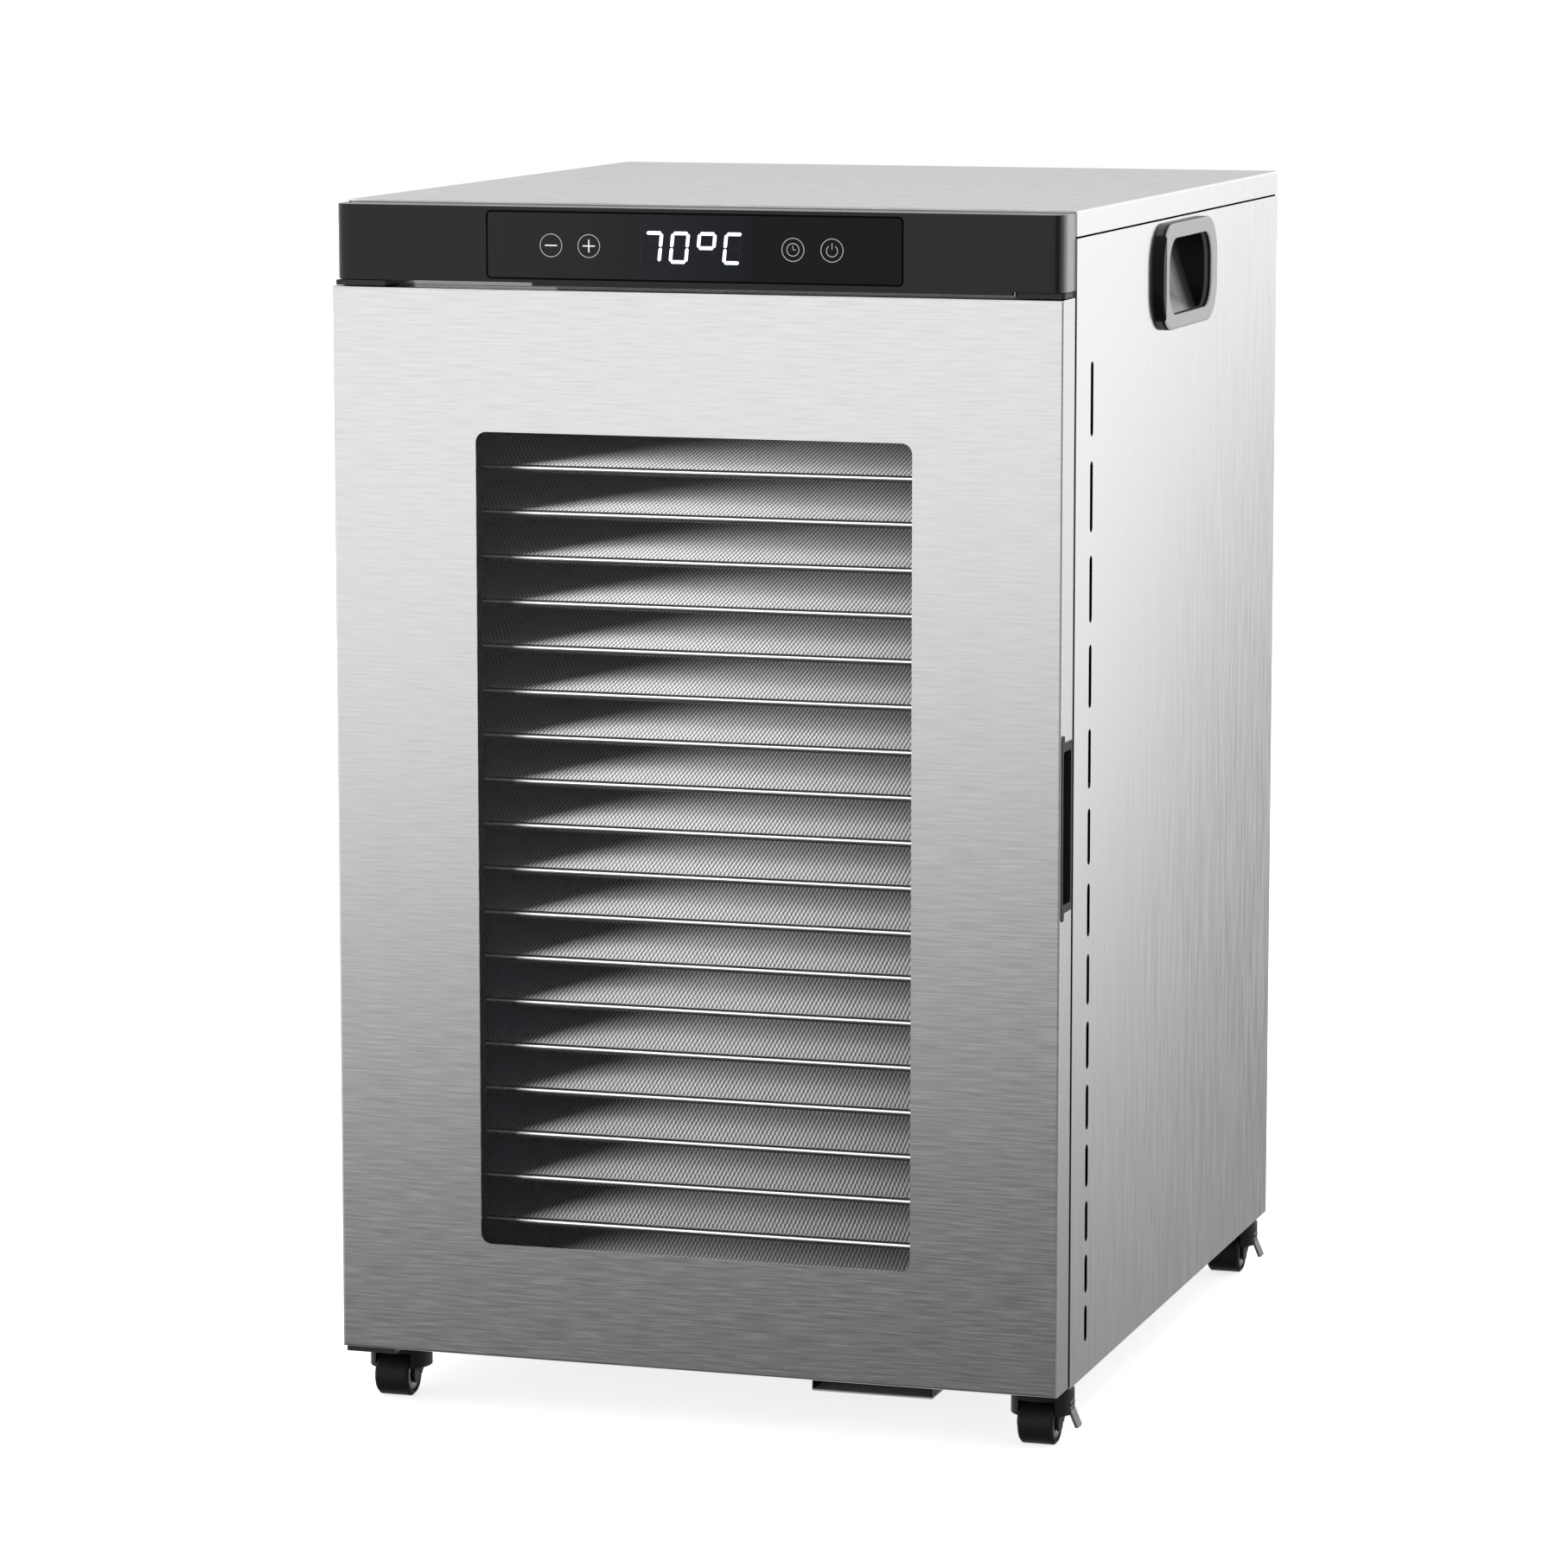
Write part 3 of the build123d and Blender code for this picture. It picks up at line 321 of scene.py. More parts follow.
def ribbon(points, width, depth, place, across, up, closed=False):
    """A raised line of even width through flat points, open with square ends or closed."""
    out = across.cross(up).normalized()
    count = len(points)
    left, right = [], []
    for i, (x, y) in enumerate(points):
        before = points[i - 1] if closed or i > 0 else points[i]
        after = points[(i + 1) % count] if closed or i < count - 1 else points[i]
        along = Vector((after[0] - before[0], after[1] - before[1])).normalized()
        left.append((x - along.y * width / 2, y + along.x * width / 2))
        right.append((x + along.y * width / 2, y - along.x * width / 2))
    flat = [place + across * x + up * y for x, y in left + right]
    verts = flat + [v + out * depth for v in flat]
    top = 2 * count
    faces = []
    for i in range(count if closed else count - 1):
        j = (i + 1) % count
        faces.append((top + i, top + count + i, top + count + j, top + j))
        faces.append((i, j, count + j, count + i))
        faces.append((i, top + i, top + j, j))
        faces.append((count + i, count + j, top + count + j, top + count + i))
    if not closed:
        last = count - 1
        faces.append((0, count, top + count, top))
        faces.append((last, top + last, top + count + last, count + last))
    return verts, faces


# Material nodes

def grey(level):
    """A neutral colour."""
    return (level, level, level)


def opaque(colour):
    """A colour with an alpha of one."""
    return (*colour, 1)


def shades(colour, levels):
    """A colour at each of several levels of brightness."""
    return [opaque(c * level for c in colour) for level in levels]


def new_material(name):
    """A node material, with its tree and its main shader."""
    mat = bpy.data.materials.new(name)
    mat.use_nodes = True
    return mat, mat.node_tree, mat.node_tree.nodes["Principled BSDF"]


def noise(tree, stretch, detail):
    """Noise in the object's own coordinates, with its own scale along each axis, per metre."""
    coords = tree.nodes.new("ShaderNodeTexCoord")
    mapping = tree.nodes.new("ShaderNodeMapping")
    mapping.inputs["Scale"].default_value = stretch
    texture = tree.nodes.new("ShaderNodeTexNoise")
    texture.inputs["Scale"].default_value = 1.0
    texture.inputs["Detail"].default_value = detail
    tree.links.new(coords.outputs["Object"], mapping.inputs["Vector"])
    tree.links.new(mapping.outputs["Vector"], texture.inputs["Vector"])
    return texture.outputs["Fac"]


def even_noise(tree, scale, detail):
    """Noise of the same scale along every axis, per metre."""
    return noise(tree, (scale, scale, scale), detail)


def calculate(tree, operation, *values):
    """A sum or other operation on numbers and sockets."""
    node = tree.nodes.new("ShaderNodeMath")
    node.operation = operation
    for socket, value in zip(node.inputs, values):
        if isinstance(value, (int, float)):
            socket.default_value = value
        else:
            tree.links.new(value, socket)
    return node.outputs["Value"]


def map_range(tree, value, start, end, low=0.0, high=1.0, smooth=False):
    """A rise from low to high as a value passes from start to end."""
    span = tree.nodes.new("ShaderNodeMapRange")
    if smooth:
        span.interpolation_type = "SMOOTHSTEP"
    span.inputs["From Min"].default_value = start
    span.inputs["From Max"].default_value = end
    span.inputs["To Min"].default_value = low
    span.inputs["To Max"].default_value = high
    tree.links.new(value, span.inputs["Value"])
    return span.outputs["Result"]


def smooth_step(tree, value, start, end, low=0.0, high=1.0):
    """The same rise, with soft ends."""
    return map_range(tree, value, start, end, low, high, smooth=True)


def spread(tree, value, low, high):
    """Noise, which lies near a half, spread over low to high."""
    return map_range(tree, value, 0.3, 0.7, low, high)


def place_axis(tree, axis, absolute=False):
    """One of the object's own coordinates, or its size without the sign."""
    coords = tree.nodes.new("ShaderNodeTexCoord")
    split = tree.nodes.new("ShaderNodeSeparateXYZ")
    tree.links.new(coords.outputs["Object"], split.inputs["Vector"])
    place = split.outputs[axis]
    return calculate(tree, "ABSOLUTE", place) if absolute else place


def grade(tree, value, stops):
    """Colour by a value, from stops of (value, colour or grey level)."""
    low, high = stops[0][0], stops[-1][0]
    ramp = tree.nodes.new("ShaderNodeValToRGB")
    elements = ramp.color_ramp.elements
    elements.remove(elements[-1])
    for i, (at, colour) in enumerate(stops):
        position = (at - low) / (high - low)
        stop = elements[0] if i == 0 else elements.new(position)
        stop.position = position
        stop.color = opaque(colour if isinstance(colour, tuple) else grey(colour))
    tree.links.new(map_range(tree, value, low, high), ramp.inputs["Fac"])
    return ramp.outputs["Color"]


def mix_colours(tree, factor, first, second, blend="MIX"):
    """The first colour going over to the second, or blended with it, by a factor."""
    mix = tree.nodes.new("ShaderNodeMix")
    mix.data_type = "RGBA"
    mix.blend_type = blend
    for socket, value in (("Factor", factor), ("A", first), ("B", second)):
        if isinstance(value, (float, tuple)):
            mix.inputs[socket].default_value = value
        else:
            tree.links.new(value, mix.inputs[socket])
    return mix.outputs["Result"]


def multiply(tree, first, second):
    """Two colours multiplied."""
    return mix_colours(tree, 1.0, first, second, "MULTIPLY")


def grained_colour(tree, colour, grain, contrast):
    """A colour whose brightness follows a grain between two levels."""
    return mix_colours(tree, spread(tree, grain, 0, 1), *shades(colour, contrast))


def bump(tree, shader, value, distance, strength):
    """Surface relief of a given height."""
    relief = tree.nodes.new("ShaderNodeBump")
    relief.inputs["Strength"].default_value = strength
    relief.inputs["Distance"].default_value = distance
    tree.links.new(value, relief.inputs["Height"])
    tree.links.new(relief.outputs["Normal"], shader.inputs["Normal"])


# Materials

def brushed_steel(name, colour, grain, roughness=(0.09, 0.16), contrast=(0.88, 1.08), edge=None):
    """Steel with a grain along one axis; beyond edge, a distance to either side, it is darker with
    painted shade.
    """
    mat, tree, shader = new_material(name)
    streaks = noise(tree, grain, 4.0)
    base = grained_colour(tree, colour, streaks, contrast)
    if edge:
        stops = (
            (0.0, 1.0), (edge - EDGE_FADE, 1.0),
            (edge, EDGE_PAINTED_SHADE), (cad_high.x, EDGE_PAINTED_SHADE),
        )
        base = multiply(tree, base, grade(tree, place_axis(tree, "X", True), stops))
    tree.links.new(base, shader.inputs["Base Color"])
    shader.inputs["Metallic"].default_value = 1.0
    tree.links.new(spread(tree, streaks, *roughness), shader.inputs["Roughness"])
    bump(tree, shader, streaks, STEEL_RELIEF, 0.5)
    return mat


def cover_with_painted_shade():
    """Steel brushed upright on the cover's sides and across on its top, with painted shade that
    darkens the top backwards.
    """
    mat = brushed_steel("cover_steel", STEEL, SIDE_GRAIN, contrast=(0.95, 1.03))
    tree = mat.node_tree
    base = tree.nodes["Principled BSDF"].inputs["Base Color"]
    sides = base.links[0].from_socket
    streaks = grained_colour(tree, STEEL, noise(tree, TOP_GRAIN, 6.0), TOP_CONTRAST)
    (_, front, _), (_, back, top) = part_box("top_cover")
    # Painted shade, darker towards the back of the top
    fade = smooth_step(tree, place_axis(tree, "Y"), front, back, 0.0, TOP_PAINTED_BACK_SHADE)
    streaks = mix_colours(tree, fade, streaks, shades(STEEL, TOP_CONTRAST)[0])
    start, end = (top - below for below in TOP_FADE)
    level = smooth_step(tree, place_axis(tree, "Z"), start, end)
    tree.links.new(mix_colours(tree, level, sides, streaks), base)
    return mat


def plain_metal(name, colour, roughness):
    """Rolled or drawn metal with a faint cloudy finish."""
    mat, tree, shader = new_material(name)
    cloud = even_noise(tree, METAL_CLOUD, 3.0)
    base = grained_colour(tree, colour, cloud, METAL_CONTRAST)
    tree.links.new(base, shader.inputs["Base Color"])
    shader.inputs["Metallic"].default_value = 1.0
    gloss = spread(tree, cloud, roughness * 0.8, roughness * 1.25)
    tree.links.new(gloss, shader.inputs["Roughness"])
    return mat


def moulded(name, colour, roughness, grain=FINE_GRAIN, relief=GRAIN_RELIEF, shine=0.5):
    """Plastic or rubber with a fine moulded grain."""
    mat, tree, shader = new_material(name)
    shader.inputs["Specular IOR Level"].default_value = shine
    grains = even_noise(tree, grain, 2.0)
    base = grained_colour(tree, colour, grains, GRAIN_CONTRAST)
    tree.links.new(base, shader.inputs["Base Color"])
    gloss = spread(tree, grains, roughness * 0.85, roughness * 1.15)
    tree.links.new(gloss, shader.inputs["Roughness"])
    bump(tree, shader, grains, relief, 0.6)
    return mat


def graded(name, axis, stops, roughness, shine=0.5, metal=0.0, absolute=False):
    """A fine moulded or painted grain whose colour changes along one axis."""
    mat, tree, shader = new_material(name)
    colour = grade(tree, place_axis(tree, axis, absolute), stops)
    tree.links.new(colour, shader.inputs["Base Color"])
    grains = even_noise(tree, FINE_GRAIN, 2.0)
    gloss = spread(tree, grains, roughness * 0.85, roughness * 1.15)
    tree.links.new(gloss, shader.inputs["Roughness"])
    shader.inputs["Specular IOR Level"].default_value = shine
    shader.inputs["Metallic"].default_value = metal
    bump(tree, shader, grains, GRAIN_RELIEF, 0.5)
    return mat


def two_colours(start, split, end, fade, first, second):
    """Stops for one colour up to split and another from there on."""
    low, high = fade
    return ((start, first), (split - low, first), (split + high, second), (end, second))


def lit(name, colour):
    """A lit or printed sign that glows in its own colour; on the printed touch signs the glow is
    painted light.
    """
    mat, tree, shader = new_material(name)
    speck = even_noise(tree, 900, 1.0)
    base = grained_colour(tree, colour, speck, (0.96, 1.0))
    tree.links.new(base, shader.inputs["Base Color"])
    shader.inputs["Roughness"].default_value = 0.4
    shader.inputs["Emission Color"].default_value = opaque(colour)
    shader.inputs["Emission Strength"].default_value = 1.0
    return mat


def fascia_with_painted_light():
    """Gloss black with a painted sheen that makes it a little lighter to the left, and a faint
    painted blue glow round the lit digits.
    """
    mat, tree, shader = new_material("fascia_gloss")
    side = place_axis(tree, "X")
    tree.links.new(grade(tree, side, FASCIA_PAINTED_SHEEN), shader.inputs["Base Color"])
    half = len(READING) / 2 * DIGIT_STEP
    # Painted glow round the digits
    outside, inside = half + PAINTED_GLOW_FADE[0], half - PAINTED_GLOW_FADE[1]
    reach = ((-outside, 0.0), (-inside, PAINTED_GLOW), (inside, PAINTED_GLOW), (outside, 0.0))
    tree.links.new(grade(tree, side, reach), shader.inputs["Emission Color"])
    shader.inputs["Emission Strength"].default_value = PAINTED_GLOW_STRENGTH
    film = even_noise(tree, 300, 2.0)
    tree.links.new(spread(tree, film, 0.085, 0.115), shader.inputs["Roughness"])
    shader.inputs["Specular IOR Level"].default_value = FASCIA_SHINE
    return mat


def housing_with_painted_ends():
    """Black moulded plastic with painted highlights at its ends, that is matt in the pocket round
    the fascia.
    """
    mat = moulded("housing_plastic", grey(HOUSING_BLACK), HOUSING_ROUGHNESS, shine=0.38)
    tree = mat.node_tree
    shader = tree.nodes["Principled BSDF"]
    (_, front, _), (side, _, _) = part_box("control_housing")
    # Painted highlights at the housing's ends
    ends = [(0.0, HOUSING_BLACK)] + [(side - inward, level) for inward, level in HOUSING_PAINTED_ENDS]
    tree.links.new(grade(tree, place_axis(tree, "X", True), ends), shader.inputs["Base Color"])
    gloss, matt = HOUSING_ROUGHNESS, POCKET_ROUGHNESS
    depth = ((front + POCKET_FADE, gloss), (front + 2 * POCKET_FADE, matt))
    roughness = grade(tree, place_axis(tree, "Y"), depth)
    low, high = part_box("control_fascia")
    inner, outer = POCKET_EDGE, POCKET_EDGE + POCKET_FADE
    for axis, start, end in (("X", low[0], high[0]), ("Z", low[2], high[2])):
        span = (
            (start - outer, gloss), (start - inner, matt),
            (end + inner, matt), (end + outer, gloss),
        )
        across = grade(tree, place_axis(tree, axis), span)
        roughness = calculate(tree, "MINIMUM", roughness, across)
    tree.links.new(roughness, shader.inputs["Roughness"])
    return mat


def handle_plastic():
    """Black moulded plastic: a rim with painted light on its face and foot and dark sides; the
    cup's painted shade darkens it from its front lower corner upwards.
    """
    mat = moulded("handle_plastic", grey(0.1), 0.4, shine=0.15)
    tree = mat.node_tree
    low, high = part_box("carry_handles")
    root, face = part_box("right_side_panel")[1][0], high[0] - HANDLE_FACE_INSET
    middle_y, middle_z = (low[1] + high[1]) / 2, (low[2] + high[2]) / 2
    out = place_axis(tree, "X", True)
    # Painted light on the rim's face and on a line at its foot
    sides = (
        (root, HANDLE_FOOT_PAINTED_LIGHT), (root + HANDLE_FOOT[0], HANDLE_FOOT_PAINTED_LIGHT),
        (root + HANDLE_FOOT[1], HANDLE_BLACK), (face - HANDLE_FACE_FADE, HANDLE_BLACK),
        (face, HANDLE_PAINTED_LIGHT),
    )
    front = low[1] + HANDLE_DARK_FRONT
    start, end = front - HANDLE_FRONT_FADE, front + HANDLE_FRONT_FADE
    behind = smooth_step(tree, place_axis(tree, "Y"), start, end)
    rim = mix_colours(tree, behind, opaque(grey(HANDLE_BLACK)), grade(tree, out, sides))
    # Painted light and shade in the cup, darker upwards and backwards
    slant = calculate(tree, "MULTIPLY_ADD", place_axis(tree, "Z"), CUP_RISE, place_axis(tree, "Y"))
    slant = calculate(tree, "MULTIPLY_ADD", out, CUP_DEPTH, slant)
    middle = middle_y + CUP_RISE * middle_z + CUP_DEPTH * root
    cup = grade(tree, slant, [(middle + at * MM, level) for at, level in CUP_PAINTED_LIGHT_AND_SHADE])
    colour = mix_colours(tree, smooth_step(tree, out, root - CUP_FADE, root), cup, rim)
    tree.links.new(colour, tree.nodes["Principled BSDF"].inputs["Base Color"])
    return mat


def clear_glass():
    """Thin glass that lets most of the light through, with a faint grey haze."""
    mat, tree, shader = new_material("door_glass_clear")
    smear = noise(tree, (9, 9, 4), 2.0)
    tree.links.new(spread(tree, smear, 0.02, 0.05), shader.inputs["Roughness"])
    shader.inputs["Base Color"].default_value = opaque(grey(0.06))
    shader.inputs["IOR"].default_value = 1.5
    shader.inputs["Alpha"].default_value = 0.14
    return mat


def wire_with_painted_weave():
    """Bright wire with a staggered check of painted light and shade for its over and under passes,
    and painted shade that darkens it on lower trays.
    """
    mat, tree, shader = new_material("wire_with_painted_weave")
    coords = tree.nodes.new("ShaderNodeTexCoord")
    flat = tree.nodes.new("ShaderNodeMapping")
    flat.inputs["Location"].default_value = (0.5, 0.5, 0.5)
    flat.inputs["Scale"].default_value = (1 / WEAVE_CELL[0], 1 / WEAVE_CELL[1], 0)
    check = tree.nodes.new("ShaderNodeTexChecker")
    check.inputs["Scale"].default_value = 1.0
    check.inputs["Color1"].default_value = WIRE_PAINTED_LIGHT
    check.inputs["Color2"].default_value = WIRE_PAINTED_SHADE
    tree.links.new(coords.outputs["Object"], flat.inputs["Vector"])
    tree.links.new(flat.outputs["Vector"], check.inputs["Vector"])
    where = tree.nodes.new("ShaderNodeObjectInfo")
    split = tree.nodes.new("ShaderNodeSeparateXYZ")
    tree.links.new(where.outputs["Location"], split.inputs["Vector"])
    # Painted shade that darkens the lower trays
    painted_shade_by_height = grade(tree, split.outputs["Z"], TRAY_PAINTED_SHADE)
    colour = multiply(tree, check.outputs["Color"], painted_shade_by_height)
    tree.links.new(colour, shader.inputs["Base Color"])
    shader.inputs["Metallic"].default_value = WIRE_METAL
    draw = even_noise(tree, 700, 2.0)
    tree.links.new(spread(tree, draw, 0.38, 0.5), shader.inputs["Roughness"])
    return mat


def chamber_wall_painted_shade():
    """Chamber walls: steel towards the trays, and black outside as painted shade, where the side
    slots show them.
    """
    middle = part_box("chamber_walls")[1][0] - SHEET / 2
    stops = two_colours(0.0, middle, cad_high.x, (WALL_FADE, WALL_FADE), *WALL_STEEL_AND_PAINTED_SHADE)
    return graded("chamber_wall_painted_shade", "X", stops, 0.36, metal=1.0, absolute=True)


def lever_finish():
    """Brake levers: a zinc tab under a black top."""
    (_, _, low), (_, _, high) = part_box("front_right_brake_lever")
    split = low + LEVER_SHARE * (high - low)
    stops = two_colours(low, split, high, (LEVER_FADE, 0.0), LEVER_ZINC, LEVER_BLACK)
    return graded("lever_finish", "Z", stops, 0.35, metal=0.7)


def channel_with_painted_shade():
    """The channel under the base: a pale bottom sheet and dark sides of painted shade."""
    (_, _, low), (_, _, high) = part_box("base_channel")
    stops = two_colours(low, low + SHEET, high, (0.0, CHANNEL_FADE), *CHANNEL_PALE_AND_PAINTED_SHADE)
    return graded("channel_with_painted_shade", "Z", stops, 0.35, shine=0.2)


door_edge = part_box("door_skin")[1][0] - EDGE_INSET
side_steel = brushed_steel("side_steel", STEEL, SIDE_GRAIN, contrast=(0.93, 1.04))
door_steel = brushed_steel("door_steel", STEEL, GRAIN_ALONG_X, edge=door_edge)
# Front frame steel darkened as painted shade for the gap under the control housing
frame_steel_painted_shade = brushed_steel("frame_steel_painted_shade", grey(0.33), GRAIN_ALONG_X)
inner_steel = brushed_steel("inner_steel", grey(0.55), GRAIN_ALONG_Z, roughness=(0.3, 0.42))
zinc = plain_metal("zinc", (0.34, 0.34, 0.31), 0.42)
motor_steel = plain_metal("motor_steel", (0.48, 0.48, 0.50), 0.4)
aluminium = plain_metal("aluminium", (0.72, 0.72, 0.73), 0.38)
black_paint = moulded("black_paint", (0.02, 0.02, 0.021), 0.42, grain=900)
black_plastic = moulded("black_plastic", (0.008, 0.008, 0.0085), 0.3, shine=0.4)
caster_plastic = moulded("caster_plastic", (0.009, 0.0095, 0.011), 0.42, shine=0.3)
wheel_rubber = moulded("wheel_rubber", (0.009, 0.0095, 0.011), 0.55, grain=1400, shine=0.3)
seal_rubber = moulded("seal_rubber", grey(0.02), 0.7, grain=1200)
board_green = moulded("board_green", (0.04, 0.17, 0.09), 0.4, grain=400)
pull_plastic = moulded("pull_plastic", (0.016, 0.0165, 0.015), 0.4, shine=0.2)
# Printed touch signs, with a painted glow
sign_white = lit("sign_white", (0.58, 0.59, 0.60))
sign_grey = lit("sign_grey", grey(0.26))
digit_white = lit("digit_white", (0.90, 0.95, 1.0))
digit_dim = moulded(
    "digit_dim", (0.016, 0.016, 0.018), 0.3, grain=300, relief=GRAIN_RELIEF / 10, shine=0.16,
)
painted_weave_wire = wire_with_painted_weave()

node_material = {
    "base_pan": inner_steel,
    "left_side_panel": side_steel,
    "right_side_panel": side_steel,
    "top_cover": cover_with_painted_shade(),
    "back_panel": side_steel,
    "front_frame": frame_steel_painted_shade,
    "base_channel": channel_with_painted_shade(),
    "chamber_plates": inner_steel,
    "chamber_walls": chamber_wall_painted_shade(),
    "tray_runners": inner_steel,
    "air_baffle": inner_steel,
    "motor_bracket": inner_steel,
    "fan_motor": motor_steel,
    "fan_rotor": aluminium,
    "heating_elements": aluminium,
    "temperature_probe": motor_steel,
    "mains_inlet": black_plastic,
    "carry_handles": handle_plastic(),
    "control_housing": housing_with_painted_ends(),
    "control_fascia": fascia_with_painted_light(),
    "control_board": board_green,
    "door_skin": door_steel,
    "door_glass": clear_glass(),
    "door_catch": black_paint,
    "door_inner_panel": black_paint,
    "door_gasket": seal_rubber,
    "door_pull": pull_plastic,
    "hinge_brackets": black_paint,
    "caster_plates": black_paint,
}
family_material = {
    "_fork": caster_plastic,
    "_wheel": wheel_rubber,
    "_brake_lever": lever_finish(),
}
for name in nodes:
    for ending, mat in family_material.items():
        if name.endswith(ending):
            node_material[name] = mat
for name, mat in node_material.items():
    nodes[name].data.materials.clear()
    nodes[name].data.materials.append(mat)


# Wire trays: a round rim rod and two layers of crossing wires, one mesh shared by all trays

tray_names = sorted(n for n in nodes if n.startswith("tray_") and n[5:].isdigit())
tray_low, tray_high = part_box(tray_names[0])
tray_half_x, tray_half_y, rim_radius = ((b - a) / 2 for a, b in zip(tray_low, tray_high))
# The rim's colour is painted light: a painted highlight along its upper front and painted shade
# above and below
rim_painted_highlight_stops = [(at * rim_radius, level) for at, level in RIM_PAINTED_LIGHT_AND_SHADE]
rim_painted_highlight = graded("rim_painted_highlight", "Z", rim_painted_highlight_stops, RIM_ROUGHNESS)


def wire_rows(half_along, half_across, height, along, across):
    """Straight wires at the weave's pitch, filling the rim."""
    count = int(half_across / WIRE_PITCH)
    reach = along * half_along
    rows = []
    for i in range(-count, count + 1):
        middle = across * (i * WIRE_PITCH) + UP * height
        rows.append(rod(middle - reach, middle + reach, WIRE_RADIUS, WIRE_SIDES, UP))
    return rows


def tray_mesh():
    """Corners, faces and material slots of one tray about its own middle."""
    reach_x, reach_y = tray_half_x - rim_radius, tray_half_y - rim_radius
    path = rounded_path(reach_x, reach_y, RIM_CORNER, RIM_CORNER_STEPS)
    rim = ring_rod(path, rim_radius, RIM_SIDES)
    level = rim_radius - 3 * WIRE_RADIUS
    wires = wire_rows(reach_x, reach_y - rim_radius, level + WIRE_RADIUS, ACROSS, BACKWARDS)
    wires += wire_rows(reach_y, reach_x - rim_radius, level - WIRE_RADIUS, BACKWARDS, ACROSS)
    verts, faces = merge([rim] + wires)
    slots = [0] * len(rim[1]) + [1] * (len(faces) - len(rim[1]))
    return verts, faces, slots


trays = bpy.data.collections.new("trays")
shared = None
for name in tray_names:
    low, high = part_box(name)
    piece_name = name + "_wire"
    if shared is None:
        verts, faces, slots = tray_mesh()
        piece = mesh_object(piece_name, verts, faces, smooth=True, slots=slots)
        piece.data.materials.append(rim_painted_highlight)
        piece.data.materials.append(painted_weave_wire)
        shared = piece.data
    else:
        piece = bpy.data.objects.new(piece_name, shared)
        bpy.context.scene.collection.objects.link(piece)
    piece.location = [(a + b) / 2 for a, b in zip(low, high)]
    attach(piece, name + "_body")
    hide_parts(name)
    trays.objects.link(piece)


# Display digits and touch signs on the fascia

fascia_low, fascia_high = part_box("control_fascia")
fascia_face = Vector((0, fascia_low[1], (fascia_low[2] + fascia_high[2]) / 2))


def on_fascia(parts, name, mat):
    """One piece of raised marks on the fascia's front."""
    piece = mesh_object(name, *merge(parts))
    piece.data.materials.append(mat)
    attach(piece, "cabinet")


def capsule(start, end, width, steps):
    """Outline of a bar with round ends."""
    along = (Vector(end) - Vector(start)).normalized()
    aside = Vector((-along.y, along.x))
    outline = []
    for centre, first in ((end, -pi / 2), (start, pi / 2)):
        for k in range(steps + 1):
            turn = first + pi * k / steps
            out = along * cos(turn) + aside * sin(turn)
            outline.append((centre[0] + out.x * width / 2, centre[1] + out.y * width / 2))
    return outline


def segment_outlines(centre_x):
    """A digit's segments: top, two on the right, bottom, two on the left upwards, middle."""
    half_w, half_h = (DIGIT_WIDTH - SEGMENT) / 2, (DIGIT_HEIGHT - SEGMENT) / 2
    inset = SEGMENT / 2 + SEGMENT_GAP
    ends = [
        ((-half_w + inset, half_h), (half_w - inset, half_h)),
        ((half_w, inset), (half_w, half_h - inset)),
        ((half_w, -half_h + inset), (half_w, -inset)),
        ((-half_w + inset, -half_h), (half_w - inset, -half_h)),
        ((-half_w, -half_h + inset), (-half_w, -inset)),
        ((-half_w, inset), (-half_w, half_h - inset)),
        ((-half_w + inset, 0), (half_w - inset, 0)),
    ]
    bars = [capsule(start, end, SEGMENT, SEGMENT_END_STEPS) for start, end in ends]
    return [[(centre_x + x + DIGIT_SLANT * z, z) for x, z in outline] for outline in bars]


def arc(x, z, radius, steps, start=0.0, end=tau):
    """Points along an arc; a full turn leaves out the repeated last point."""
    count = steps if end - start == tau else steps + 1
    turns = [start + (end - start) * k / steps for k in range(count)]
    return [(x + radius * cos(turn), z + radius * sin(turn)) for turn in turns]


def line(points, closed=False):
    """A thin raised line on the fascia."""
    return ribbon(points, RING_LINE, SIGN_PROUD, fascia_face, ACROSS, UP, closed)


def raised(outlines, proud):
    """Raised flat marks on the fascia."""
    return [prism(outline, proud, fascia_face, ACROSS, UP) for outline in outlines]


lit_marks, dim_marks = [], []
for place, character in enumerate(READING):
    centre = (place - (len(READING) - 1) / 2) * DIGIT_STEP
    for i, outline in enumerate(segment_outlines(centre)):
        (lit_marks if i in SEGMENTS_ON[character] else dim_marks).append(outline)
on_fascia(raised(lit_marks, SIGN_PROUD), "display_digits", digit_white)
on_fascia(raised(dim_marks, SIGN_PROUD / 2), "display_digits_off", digit_dim)

minus_x, plus_x, clock_x, power_x = SIGN_PLACES
clock_hands = [(clock_x, CLOCK_HANDS[0]), (clock_x, 0), (clock_x + CLOCK_HANDS[1], 0)]
thin_lines = [line(arc(x, 0, SIGN_RADIUS, RING_STEPS), closed=True) for x in SIGN_PLACES]
thin_lines.append(line(arc(clock_x, 0, CLOCK_RADIUS, CLOCK_STEPS), closed=True))
thin_lines.append(line(clock_hands))
thin_lines.append(line(arc(power_x, -POWER_DROP, POWER_RADIUS, POWER_STEPS, *POWER_ARC)))
thin_lines.append(line([(power_x, z) for z in POWER_BAR]))
on_fascia(thin_lines, "touch_rings", sign_grey)

